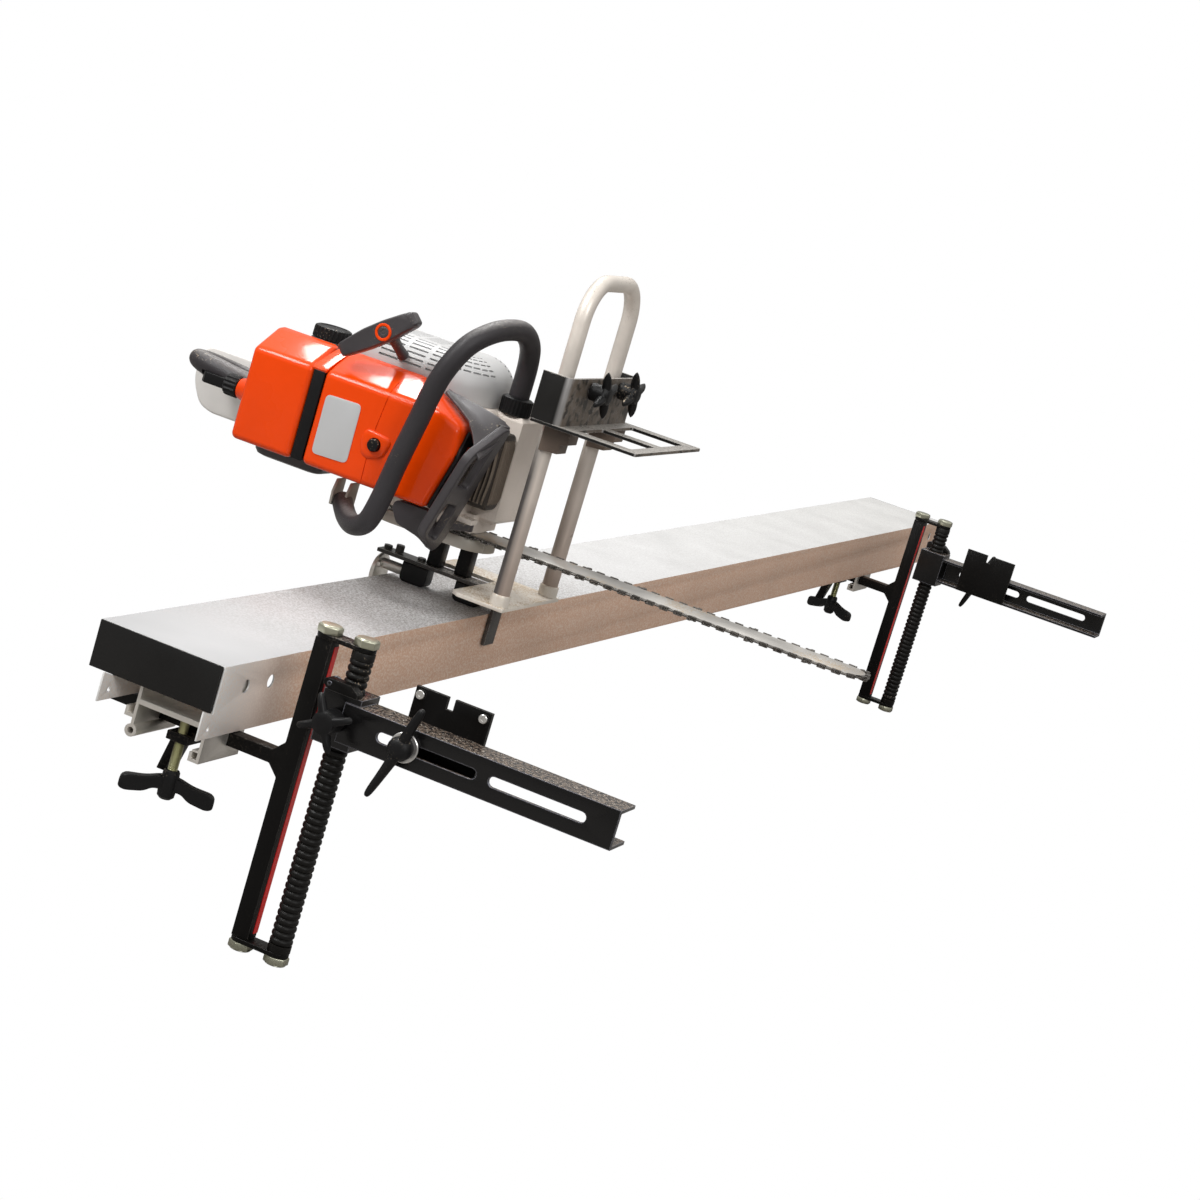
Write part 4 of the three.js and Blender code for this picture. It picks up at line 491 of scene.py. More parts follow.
bright_screw = finish("bright_screw", (0.72, 0.71, 0.69), 0.25, metallic=0.9, variation=0.1, grain=900.0)
clip_metal = finish("clip_metal", (0.74, 0.71, 0.66), 0.36, metallic=0.8, variation=0.12, grain=800.0,
                    wear_and_sheen=0.3, wear_and_sheen_colour=(0.9, 0.88, 0.84), dust=0.2)
red_paint = finish("red_paint", (0.70, 0.008, 0.006), 0.4, variation=0.15, grain=600.0, bump=0.08)

# Patches: spots of colour on what faces along an axis, used for dust, for dark tops and for painted
# highlights
patch_group, patch_in, patch_out = effect_group(
    "facing_patches",
    [("Axis", VECTOR, (0.0, 0.0, 1.0)), ("Turned Low", FLOAT, 0.5), ("Turned High", FLOAT, 1.0),
     ("Scale", FLOAT, 200.0), ("Spot Low", FLOAT, 0.4), ("Spot High", FLOAT, 0.6), ("Least", FLOAT, 0.0)],
    [("Mask", FLOAT)])
patch_shape = new_node(patch_group, "ShaderNodeNewGeometry")
patch_turn = new_node(patch_group, "ShaderNodeVectorMath", [
    (0, patch_shape.outputs["Normal"]), (1, patch_in.outputs["Axis"])], operation="DOT_PRODUCT")
patch_group.links.new(product(
    patch_group,
    ramp(patch_group, patch_turn.outputs["Value"], patch_in.outputs["Turned Low"],
         patch_in.outputs["Turned High"]),
    ramp(patch_group, spots(patch_group, patch_in.outputs["Scale"], 4.0), patch_in.outputs["Spot Low"],
         patch_in.outputs["Spot High"], patch_in.outputs["Least"])), patch_out.inputs["Mask"])
facing_up, facing_away = (0.0, 0.0, 1.0), (0.0, -1.0, 0.0)


def patches(material, axis, turned, scale, spread, colour, least=0.25):
    """Lays the patches over a material's colour; turned and spread are each a pair from none to full."""
    tree = material.node_tree
    colour_in = tree.nodes["Principled BSDF"].inputs["Base Color"]
    mask = new_node(tree, "ShaderNodeGroup", node_tree=patch_group)
    for label, value in (("Axis", axis), ("Turned Low", turned[0]), ("Turned High", turned[1]),
                         ("Scale", scale), ("Spot Low", spread[0]), ("Spot High", spread[1]),
                         ("Least", least)):
        mask.inputs[label].default_value = value
    tree.links.new(tint(tree, mask.outputs["Mask"], colour_in.links[0].from_socket, colour), colour_in)


# The arm: a painted highlight on its rolled edge, a black top, brown dust on it and a few pale crumbs
patches(arm_steel, facing_up, (0.15, 0.5), 20.0, (0.3, 0.7), (0.34, 0.35, 0.42), 0.6)
patches(arm_steel, facing_up, (0.8, 0.96), 20.0, (0.3, 0.7), (0.012, 0.011, 0.012), 1.0)
patches(arm_steel, facing_up, (0.8, 0.97), 240.0, (0.43, 0.60), (0.17, 0.13, 0.10), 0.0)
patches(arm_steel, facing_up, (0.8, 0.97), 620.0, (0.63, 0.68), (0.75, 0.68, 0.60), 0.0)
for side in ("near", "far"):
    dress(clip_metal, f"{side}_rail_clip", bevel=0.0005)
    dress(black_steel, f"{side}_bracket_frame", f"{side}_log_plate", bevel=0.001)
    dress(arm_steel, f"{side}_slide_arm", bevel=0.0018, segments=4)
    dress(black_steel, f"{side}_pawl", f"{side}_clamp_jaw", bevel=0.001)

# Places on the brackets are given in millimetres from the deck's top corner at the near end
clip_start = 0.004
deck_low, deck_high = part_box("rail_deck")
rail_corner = Vector((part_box("near_rail_clip")[0].x - clip_start, deck_low.y, deck_high.z))
mirror_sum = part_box("near_bracket_frame")[0].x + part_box("far_bracket_frame")[1].x


def on_bracket(side, x, y, z):
    """A point on the near bracket, or its mirrored place on the far one."""
    point = rail_corner + Vector((x, y, z)) / 1000.0
    if side == "far":
        point.x = mirror_sum - point.x
    return point


def block(bm, low, high):
    """A box between two corners."""
    xs, ys, zs = (sorted((low[i], high[i])) for i in range(3))
    verts = {(i, j, k): bm.verts.new((xs[i], ys[j], zs[k])) for i in (0, 1) for j in (0, 1) for k in (0, 1)}
    for face in (((0, 0, 0), (0, 0, 1), (0, 1, 1), (0, 1, 0)), ((1, 0, 0), (1, 1, 0), (1, 1, 1), (1, 0, 1)),
                 ((0, 0, 0), (1, 0, 0), (1, 0, 1), (0, 0, 1)), ((0, 1, 0), (0, 1, 1), (1, 1, 1), (1, 1, 0)),
                 ((0, 0, 0), (0, 1, 0), (1, 1, 0), (1, 0, 0)), ((0, 0, 1), (1, 0, 1), (1, 1, 1), (0, 1, 1))):
        bm.faces.new([verts[key] for key in face])


def loft(bm, rings, closed=True):
    """A skin over rings of points."""
    made = [[bm.verts.new(p) for p in ring] for ring in rings]
    for a, b in zip(made, made[1:]):
        for k in range(len(a)):
            j = (k + 1) % len(a)
            bm.faces.new((a[k], a[j], b[j], b[k]))
    if closed:
        bm.faces.new(made[0][::-1])
        bm.faces.new(made[-1])
    return made


def rounded(points, radius, steps=5):
    """An outline with its corners rounded to a radius."""
    result = []
    count = len(points)
    for i, corner in enumerate(points):
        at = Vector(corner)
        before, after = Vector(points[i - 1]), Vector(points[(i + 1) % count])
        cut = min(radius, (before - at).length / 2.1, (after - at).length / 2.1)
        start = at + (before - at).normalized() * cut
        end = at + (after - at).normalized() * cut
        for k in range(steps + 1):
            t = k / steps
            point = start * (1 - t) ** 2 + at * 2 * t * (1 - t) + end * t ** 2
            result.append((point.x, point.y))
    return result


def star_ring(centre, across, third, scale, turn, sizes):
    """A four-armed outline with round lobes; sizes are tip radius, root radius and tip half width."""
    tip, root, half = (value * scale for value in sizes)
    points = []
    for arm in range(4):
        along = turn + math.pi / 2 * arm
        for k in range(7):
            angle = along - math.pi / 2 + math.pi * k / 6
            points.append(((tip - half) * math.cos(along) + half * math.cos(angle),
                           (tip - half) * math.sin(along) + half * math.sin(angle)))
        between = along + math.pi / 4
        for swing, reach in ((-0.42, 1.06), (-0.16, 0.98), (0.16, 0.98), (0.42, 1.06)):
            points.append((root * reach * math.cos(between + swing),
                           root * reach * math.sin(between + swing)))
    return [centre + (across * u + third * v) / 1000.0 for u, v in points]


def star_knob(name, centre, along, sizes, thickness, hub_radius, hub_reach, turn, body, node):
    """A moulded knob: puffed arms, a domed middle and a hub behind; along points to the front."""
    along = Vector(along)
    across = Vector((0.0, 0.0, 1.0))
    third = along.cross(across)
    bm = bmesh.new()
    loft(bm, [star_ring(centre - along * (thickness * depth / 1000.0), across, third, scale, turn, sizes)
              for depth, scale in ((0.0, 0.52), (0.06, 0.68), (0.18, 0.83), (0.34, 0.94), (0.5, 1.0),
                                   (0.66, 0.94), (0.82, 0.83), (0.94, 0.68), (1.0, 0.52))])
    piece(f"{name}_arms", bm, black_plastic, body, stands_for=(node,))
    bm = bmesh.new()
    radius = hub_radius / 1000.0
    lathe(bm, centre, -along, [(radius * 0.35, -0.0012), (radius * 0.7, -0.0010), (radius * 0.95, 0.0004),
                               (radius, 0.0030), (radius, (hub_reach - 1.0) / 1000.0),
                               (radius * 0.93, hub_reach / 1000.0)], 32)
    piece(f"{name}_hub", bm, black_plastic, body)


def hexagon(x, y, radius):
    return [(x + radius * math.cos(math.pi / 3 * k), y + radius * math.sin(math.pi / 3 * k))
            for k in range(6)]


rack_foot, rack_length, rack_plain, rack_ribs = -282.0, 333.0, 8.0, 42
rib_pitch = (rack_length - 2 * rack_plain) / rack_ribs
rib_shape = ((0.02, 10.5), (0.16, 11.7), (0.34, 12.4), (0.5, 12.5), (0.66, 12.4), (0.84, 11.7), (0.98, 10.5))
rack_profile = [(0.0121, 0.0), (0.0125, 0.0006), (0.0125, rack_plain / 1000.0)]
for i in range(rack_ribs):
    start = rack_plain + i * rib_pitch
    rack_profile += [(radius / 1000.0, (start + share * rib_pitch) / 1000.0) for share, radius in rib_shape]
rack_profile += [(0.0125, (rack_length - rack_plain) / 1000.0), (0.0125, (rack_length - 0.6) / 1000.0),
                 (0.0121, rack_length / 1000.0)]
screw_at = (44.0, 48.5)
post_x, post_y, rack_y, strap_end = 68, -70, -113, 12
handle_turn = math.radians(25.0)
handle_outline = [(-51, -152), (-51, -167), (-44, -169), (-25, -165), (-16, -158), (16, -158), (25, -165),
                  (44, -169), (51, -167), (51, -152), (26, -149), (9, -143), (-9, -143), (-26, -149)]
for side in ("near", "far"):
    outward = -1 if side == "near" else 1
    star_knob(f"{side}_lock", on_bracket(side, 12, rack_y, -21), (outward, 0, 0), (31.5, 13.0, 3.6), 11.5,
              12.5, 29.0, 0.42, f"{side}_lock_knob", f"{side}_lock_knob")
    for label, start, up in (("top", 51.3, 1), ("bottom", -282.3, -1)):
        bm = bmesh.new()
        strap = []
        for end_y, first_angle in ((post_y, 0.0), (rack_y, math.pi)):
            for k in range(25):
                angle = first_angle + math.pi * k / 24
                strap.append((post_x + strap_end * math.cos(angle), end_y + strap_end * math.sin(angle)))
        loft(bm, [[on_bracket(side, x, y, start + up * rise) for x, y in strap] for rise in (0.0, 5.0)])
        piece(f"{side}_{label}_strap", bm, black_steel, f"{side}_bracket", bevel=0.0008,
              stands_for=(f"{side}_{label}_tie",))
        for number, y in enumerate((post_y, rack_y)):
            bm = bmesh.new()
            loft(bm, [[on_bracket(side, u, v, start + up * rise) for u, v in hexagon(post_x, y, radius)]
                      for rise, radius in ((4.8, 13.2), (5.6, 13.8), (12.6, 13.8), (14.0, 11.6))])
            lathe(bm, on_bracket(side, post_x, y, start + up * 13.0), (0, 0, up),
                  [(0.0118, 0.0), (0.0112, 0.0012)], 32)
            piece(f"{side}_{label}_head_{number}", bm, zinc_plate, f"{side}_bracket", bevel=0.0006)
    bm = bmesh.new()
    lathe(bm, on_bracket(side, post_x, rack_y, rack_foot), (0, 0, 1), rack_profile, 24)
    piece(f"{side}_ribbed_rack", bm, rack_black, f"{side}_bracket", stands_for=(f"{side}_rack",))

    bm = bmesh.new()
    block(bm, on_bracket(side, 67.5, -80.5, -276), on_bracket(side, 77.5, -79.8, 44))
    piece(f"{side}_red_strip", bm, red_paint, f"{side}_bracket")

    bm = bmesh.new()
    thread = [(0.0046, 0.0)]
    for i in range(64):
        thread += [(0.0055, 0.0003 + i * 0.001), (0.0050, 0.0008 + i * 0.001)]
    lathe(bm, on_bracket(side, *screw_at, -137), (0, 0, 1), thread, 20)
    piece(f"{side}_clamp_thread", bm, zinc_thread, f"{side}_clamp_screw", stands_for=(f"{side}_clamp_screw",))
    bm = bmesh.new()
    lathe(bm, on_bracket(side, *screw_at, -168), (0, 0, 1),
          [(0.006, 0.0), (0.0092, 0.003), (0.0098, 0.010), (0.0095, 0.022), (0.0090, 0.030), (0.0078, 0.032)],
          32)
    piece(f"{side}_clamp_hub", bm, black_plastic, f"{side}_clamp_screw")
    bm = bmesh.new()
    rings = []
    for across, scale in ((-6.5, 0.94), (-5.5, 0.985), (-3.5, 1.0), (3.5, 1.0), (5.5, 0.985), (6.5, 0.94)):
        ring = []
        for u, z in rounded(handle_outline, 7.0, 4):
            u, z = u * scale, -156 + (z + 156) * scale
            ring.append(on_bracket(
                side, screw_at[0] + across * math.cos(handle_turn) - u * math.sin(handle_turn),
                screw_at[1] + across * math.sin(handle_turn) + u * math.cos(handle_turn), z))
        rings.append(ring)
    loft(bm, rings)
    piece(f"{side}_clamp_handle", bm, black_plastic, f"{side}_clamp_screw")

    wing_y, wing_z, wing_front, washer_front, washer_back, wing_back = -194, -21, 22.0, 40.7, 43.7, 84.0
    bm = bmesh.new()
    lathe(bm, on_bracket(side, wing_front, wing_y, wing_z), (-outward, 0, 0),
          [(0.002, 0.0), (0.0065, 0.0004), (0.0098, 0.0018), (0.0122, 0.0050), (0.0130, 0.0095),
           (0.0128, 0.0140), (0.0116, (washer_front - wing_front) / 1000.0)], 40)
    piece(f"{side}_wing_hub", bm, black_plastic, f"{side}_wing_bolt", stands_for=(f"{side}_wing_bolt",))
    bm = bmesh.new()
    lathe(bm, on_bracket(side, washer_front, wing_y, wing_z), (-outward, 0, 0),
          [(0.0152, 0.0), (0.0160, 0.0006), (0.0160, 0.0024),
           (0.0152, (washer_back - washer_front) / 1000.0)], 40)
    lathe(bm, on_bracket(side, washer_back - 0.2, wing_y, wing_z), (-outward, 0, 0),
          [(0.0050, 0.0), (0.0050, (wing_back - washer_back) / 1000.0)], 24)
    piece(f"{side}_wing_washer", bm, bright_screw, f"{side}_wing_bolt")
    bm = bmesh.new()
    for route, sizes in (
        (((31, wing_y, wing_z), (29, -198, -6), (26.6, -203, 9), (26.0, -207, 20), (26.0, -208.6, 25.4),
          (26.0, -209.2, 27.6)),
         (0.0074, 0.0056, 0.0050, 0.0047, 0.0037, 0.0018)),
        (((31, wing_y, wing_z), (29.5, -189, -38), (27.6, -183, -56), (26.2, -178, -70),
          (26.0, -175.6, -76.6), (26.0, -174.9, -78.8)), (0.0074, 0.0056, 0.0048, 0.0043, 0.0034, 0.0016)),
    ):
        sweep(bm, [on_bracket(side, *place) for place in route], sizes, 24)
    piece(f"{side}_wing_arms", bm, black_plastic, f"{side}_wing_bolt", levels=1)

    for number, y in enumerate((-252.5, -179.5)):
        bm = bmesh.new()
        lathe(bm, on_bracket(side, 81.4, y, 26.5), (outward, 0, 0),
              [(0.0049, 0.0), (0.0049, 0.0006), (0.0043, 0.0012), (0.0020, 0.0012), (0.0017, 0.0004),
               (0.0003, 0.0004)], 24)
        piece(f"{side}_plate_screw_{number}", bm, bright_screw, f"{side}_log_mount")

# CARRIAGE
# The carriage slides along the deck on two moulded black blocks that a steel beam joins, with a zinc
# plate outside the deck. A dusty saddle plate carries the tube frame, and two posts hold the saw.
saddle_metal = finish("saddle_metal", (0.84, 0.78, 0.70), 0.5, metallic=0.3, variation=0.2, grain=500.0,
                      wear_and_sheen=0.3, wear_and_sheen_colour=(0.85, 0.83, 0.8), dust=0.8)
dress(black_plastic, "outer_slider", "inner_slider", bevel=0.002, segments=3)
beam_steel = finish("beam_steel", (0.045, 0.042, 0.04), 0.4, metallic=0.3, variation=0.3, bump=0.3,
                    grain=900.0, wear_and_sheen=0.8, wear_and_sheen_colour=(0.5, 0.48, 0.46), dust=0.5, dust_colour=(0.34, 0.29, 0.24))
dress(beam_steel, "carriage_beam", bevel=0.001)
dress(black_steel, "rear_post", "front_post", bevel=0.001)
dress(clip_metal, "side_guide", bevel=0.0008)
dress(saddle_metal, "saddle_plate", bevel=0.0008)

# TUBE FRAME AND HEIGHT GUIDE
# One steel tube is bent into a U, painted light, and stands in a socket at the foot of each leg. The
# height guide is folded from black sheet, slides on the legs, and is clamped by two star knobs.
tube_paint = finish("tube_paint", (0.76, 0.70, 0.635), 0.34, metallic=0.3, variation=0.2, grain=900.0,
                    bump=0.12, dust=0.25, dust_colour=(0.20, 0.15, 0.11))
tube_tree = tube_paint.node_tree
tube_colour = tube_tree.nodes["Principled BSDF"].inputs["Base Color"]
tube_place = new_node(tube_tree, "ShaderNodeTexCoord")
tube_split = new_node(tube_tree, "ShaderNodeSeparateXYZ", [(0, tube_place.outputs["Object"])])

# Painted reflection and shade: towards their feet the legs are painted browner, as the log's reflection,
# and the near leg's side away from the sawing is painted dark as shade
painted_foot_reflection = tint(tube_tree, ramp(tube_tree, tube_split.outputs["Z"], 0.03, 0.27, 0.8, 0.0),
                  tube_colour.links[0].from_socket, (0.34, 0.24, 0.19))
painted_side_shade = 0.92
for source, low, high, first, last in (
    (facing_parts(tube_tree).outputs["Y"], -0.45, 0.35, 0.0, 1.0),
    (tube_split.outputs["Z"], 0.20, 0.29, 1.0, 0.0), (tube_split.outputs["X"], 0.60, 0.64, 1.0, 0.35),
):
    painted_side_shade = product(tube_tree, ramp(tube_tree, source, low, high, first, last), painted_side_shade)
tube_tree.links.new(tint(tube_tree, painted_side_shade, painted_foot_reflection, (0.07, 0.065, 0.065)), tube_colour)
guide_steel = finish("guide_steel", (0.008, 0.0075, 0.007), 0.32, metallic=0.2, variation=0.4, bump=0.35,
                     grain=1200.0, wear_and_sheen=0.8, wear_and_sheen_colour=(0.42, 0.40, 0.37), specular=0.45)

# The guide's bend has a painted highlight, its face has brown and dark patches, and its plate is dusty
patches(guide_steel, facing_away, (0.22, 0.6), 30.0, (0.3, 0.7), (0.36, 0.35, 0.345), 0.75)
patches(guide_steel, facing_away, (0.8, 0.97), 110.0, (0.36, 0.5), (0.15, 0.12, 0.095), 0.75)
patches(guide_steel, facing_away, (0.85, 0.97), 75.0, (0.50, 0.60), (0.03, 0.026, 0.022), 0.0)
patches(guide_steel, facing_up, (0.7, 0.95), 620.0, (0.36, 0.5), (0.42, 0.395, 0.365))


def carve(obj, *cutters):
    """Cuts shapes out of a piece and keeps the result as its mesh."""
    for shape in cutters:
        cut = obj.modifiers.new("carve", "BOOLEAN")
        cut.operation = "DIFFERENCE"
        cut.solver = "EXACT"
        cut.object = shape
    baked = bpy.data.meshes.new_from_object(obj.evaluated_get(bpy.context.evaluated_depsgraph_get()))
    obj.modifiers.clear()
    obj.data = baked
    for shape in cutters:
        bpy.data.objects.remove(shape)


def cutter(name, make):
    """A shape that only cuts."""
    bm = bmesh.new()
    make(bm)
    bmesh.ops.recalc_face_normals(bm, faces=bm.faces)
    return mesh_object(name, bm)


u_low, u_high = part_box("u_frame")
tube_radius = 0.010
leg_socket = 0.012
leg_bore = 0.0106
bend_radius = 0.048
leg_half = (u_high.x - u_low.x) / 2 - leg_socket
u_middle = (u_low.x + u_high.x) / 2
leg_y = (u_low.y + u_high.y) / 2
u_route = [Vector((u_middle - leg_half, leg_y, u_low.z))]
for side, start in ((-1, 0.0), (1, math.pi / 2)):
    for k in range(13):
        angle = start + math.pi / 2 * k / 12
        u_route.append(Vector((u_middle + side * (leg_half - bend_radius) - bend_radius * math.cos(angle),
                               leg_y, u_high.z - tube_radius - bend_radius + bend_radius * math.sin(angle))))
u_route.append(Vector((u_middle + leg_half, leg_y, u_low.z)))
bm = bmesh.new()
sweep(bm, u_route, tube_radius, 36)
piece("bent_tube", bm, tube_paint, "carriage", stands_for=("u_frame",))
for number, x in enumerate((u_middle - leg_half, u_middle + leg_half)):
    bm = bmesh.new()
    lathe(bm, (x, leg_y, u_low.z), (0, 0, 1),
          [(leg_socket, 0.0), (leg_socket, 0.012), (0.0112, 0.0138), (0.0098, 0.014)], 36)
    piece(f"leg_socket_{number}", bm, saddle_metal, "carriage")

# The guide: a bent sheet on a windowed foot plate, the block that clamps it to the legs, and a stepped
# lug under the plate at each leg
guide_low, guide_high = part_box("height_guide")
guide_corner, guide_sheet, guide_foot = 0.012, 0.004, 0.004
guide_reach, guide_sink, clamp_wall = 0.101, 0.0003, 0.0146
knob_boxes = [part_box(f"{side}_guide_knob") for side in ("near", "far")]
guide_wall_y = guide_low.y + guide_reach
sheet_line = []
for inset in (0.0, guide_sheet):
    turn_radius = guide_corner - inset
    line = [(guide_low.x + inset, guide_high.y)]
    for end, start in ((guide_low.x + guide_corner, math.pi), (guide_high.x - guide_corner, 1.5 * math.pi)):
        for k in range(13):
            angle = start + math.pi / 2 * k / 12
            line.append((end + turn_radius * math.cos(angle), guide_wall_y + guide_corner
                         + turn_radius * math.sin(angle)))
    line.append((guide_high.x - inset, guide_high.y))
    sheet_line.append(line)
bm = bmesh.new()
prism(bm, sheet_line[0] + sheet_line[1][::-1], "z", guide_low.z + guide_foot - guide_sink, guide_high.z)
guide_wall = piece("guide_wall", bm, guide_steel, "height_guide", stands_for=("height_guide",))
knob_middles = [((low.x + high.x) / 2, (low.z + high.z) / 2) for low, high in knob_boxes]
carve(guide_wall, *[cutter(f"knob_hole_{i}", lambda bm, at=at: lathe(
    bm, (at[0], guide_wall_y - 0.01, at[1]), (0, 1, 0), [(0.0043, 0.0), (0.0043, 0.03)], 24))
    for i, at in enumerate(knob_middles)])
soften(guide_wall, 0.0006, 2, weld=False)


def guide_plate(bm, low, high):
    """The foot plate's outline between two heights."""
    loft(bm, [[Vector((x, y, z)) for x, y in rounded(
        [(guide_low.x, guide_low.y), (guide_high.x, guide_low.y), (guide_high.x, guide_high.y),
         (guide_low.x, guide_high.y)], 0.004)] for z in (low, high)])


window_frame, window_rib, window_end = 0.024, 0.022, 0.016
guide_middle = (guide_low.x + guide_high.x) / 2


def guide_windows(bm):
    for hand in (-1, 1):
        near, far = hand * window_rib / 2, hand * ((guide_high.x - guide_low.x) / 2 - window_frame)
        outline = [(guide_middle + near, guide_low.y + window_end),
                   (guide_middle + far, guide_low.y + window_end),
                   (guide_middle + far, guide_wall_y - window_end),
                   (guide_middle + near, guide_wall_y - window_end)]
        loft(bm, [[Vector((x, y, z)) for x, y in rounded(outline, 0.003)]
                  for z in (guide_low.z - 0.01, guide_low.z + 0.02)])


def leg_bores(bm):
    for x in (u_middle - leg_half, u_middle + leg_half):
        lathe(bm, (x, leg_y, guide_low.z - 0.05), (0, 0, 1), [(leg_bore, 0.0), (leg_bore, 0.14)], 40)


bm = bmesh.new()
guide_plate(bm, guide_low.z, guide_low.z + guide_foot)
guide_base = piece("guide_base", bm, guide_steel, "height_guide")
carve(guide_base, cutter("guide_windows", guide_windows), cutter("leg_bores", leg_bores))
soften(guide_base, 0.0006, 2, weld=False)
bm = bmesh.new()
clamp_side = leg_half + clamp_wall
block(bm, Vector((u_middle - clamp_side, guide_wall_y + guide_sheet - guide_sink,
                  guide_low.z + guide_foot - guide_sink)),
      Vector((u_middle + clamp_side, leg_y + clamp_wall, guide_low.z + guide_foot + 0.016)))
guide_clamp = piece("guide_clamp", bm, guide_steel, "height_guide")
carve(guide_clamp, cutter("leg_bores", leg_bores))
soften(guide_clamp, 0.0010, 2, weld=False)
lug_steel = finish("lug_steel", (0.12, 0.088, 0.068), 0.5, variation=0.4, bump=0.3, grain=900.0, wear_and_sheen=0.5,
                   wear_and_sheen_colour=(0.3, 0.27, 0.24), dust=0.4)
for side, x in (("near", u_middle - leg_half), ("far", u_middle + leg_half)):
    bm = bmesh.new()
    back, step, front = leg_y + 0.003, leg_y - 0.022, leg_y - 0.032
    prism(bm, [(back, guide_low.z + guide_sink), (back, guide_low.z - 0.033), (step, guide_low.z - 0.031),
               (step, guide_low.z - 0.020), (front, guide_low.z - 0.017), (front, guide_low.z + guide_sink)],
          "x", x - clamp_wall, x + clamp_wall)
    lug = piece(f"{side}_guide_lug", bm, lug_steel, "height_guide")
    carve(lug, cutter("leg_bores", leg_bores))
    soften(lug, 0.0010, 2, weld=False)
for side in ("near", "far"):
    knob_low, knob_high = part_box(f"{side}_guide_knob")
    star_knob(f"{side}_guide", Vector(((knob_low.x + knob_high.x) / 2, knob_low.y + 0.001,
                                       (knob_low.z + knob_high.z) / 2)),
              (0, -1, 0), (31.5, 12.0, 2.8), 11.0, 11.0, 24.0, 0.42,
              f"{side}_guide_knob", f"{side}_guide_knob")

# CHAINSAW
# The saw lies on its side with its bar level. Its covers are glossy orange mouldings, its housings light
# grey, its handles, tank and guard dark plastic, and its bar and chain bare steel.
orange_shell = finish("orange_shell", (0.82, 0.059, 0.001), 0.25, variation=0.05, grain=300.0, bump=0.02,
                      coat=0.4, specular=0.1)
grey_shell = finish("grey_shell", (0.53, 0.53, 0.53), 0.45, variation=0.06, grain=1500.0, bump=0.15, dust=0.1)
case_shell = finish("case_shell", (0.80, 0.72, 0.65), 0.45, variation=0.1, grain=1500.0, bump=0.15, dust=0.35,
                    dust_colour=(0.42, 0.33, 0.25))
dark_shell = finish("dark_shell", (0.046, 0.041, 0.044), 0.36, variation=0.12, grain=1600.0, bump=0.25,
                    wear_and_sheen=0.35, wear_and_sheen_colour=(0.22, 0.21, 0.21), dust=0.15)
handle_rubber = finish("handle_rubber", (0.032, 0.029, 0.032), 0.42, variation=0.12, grain=2200.0, bump=0.35,
                       dust=0.1, specular=0.35)
# Light patches on what faces up: partly dust and partly a painted highlight from the sky on the handles' tops
patches(handle_rubber, facing_up, (0.55, 0.98), 260.0, (0.36, 0.6), (0.21, 0.20, 0.195), 0.55)
cast_metal = finish("cast_metal", (0.50, 0.47, 0.42), 0.5, metallic=0.6, variation=0.2, grain=700.0, bump=0.3,
                    dust=0.4)
bar_steel = finish("bar_steel", (0.60, 0.58, 0.55), 0.34, metallic=0.9, variation=0.2, grain=500.0, bump=0.15,
                   dust=0.5)
chain_steel = finish("chain_steel", (0.10, 0.09, 0.08), 0.4, metallic=0.85, variation=0.25, grain=900.0,
                     bump=0.3, wear_and_sheen=0.6, wear_and_sheen_colour=(0.6, 0.58, 0.55))
dress(case_shell, "crankcase", bevel=0.002, segments=3)
dress(black_plastic, "filter_band", "release_button", "throttle_trigger", "throttle_lock", bevel=0.0012,
      segments=3)
dress(cast_metal, "cylinder", "sprocket_cover", bevel=0.001)
dress(bar_steel, "guide_bar", "crankshaft", "nose_sprocket", bevel=0.0004)

# Places on the saw are given in millimetres from the middle of the bar's root, as they were measured
bar_low, bar_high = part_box("guide_bar")
bar_tail = 0.004
saw_origin = Vector(((bar_low.x + bar_high.x) / 2, bar_high.y - bar_tail, (bar_low.z + bar_high.z) / 2))


def saw(x, y, z):
    return saw_origin + Vector((x, y, z)) / 1000.0


def flat_outline(points, axis):
    """Millimetre points on the saw as an outline for prism, in metres."""
    keep = {"x": (1, 2), "y": (0, 2), "z": (0, 1)}[axis]
    return [(u / 1000.0 + saw_origin[keep[0]], v / 1000.0 + saw_origin[keep[1]]) for u, v in points]


def saw_level(axis, value):
    return value / 1000.0 + saw_origin["xyz".index(axis)]


# Orange covers: hollow shells with broad rounded edges, open towards the crankcase
shell_wall = 0.003
cover_face = saw_level("x", -122)
cover_section = [(-122, 30), (-64.3, 30), (-64.3, 172), (-72, 172), (-122, 146)]


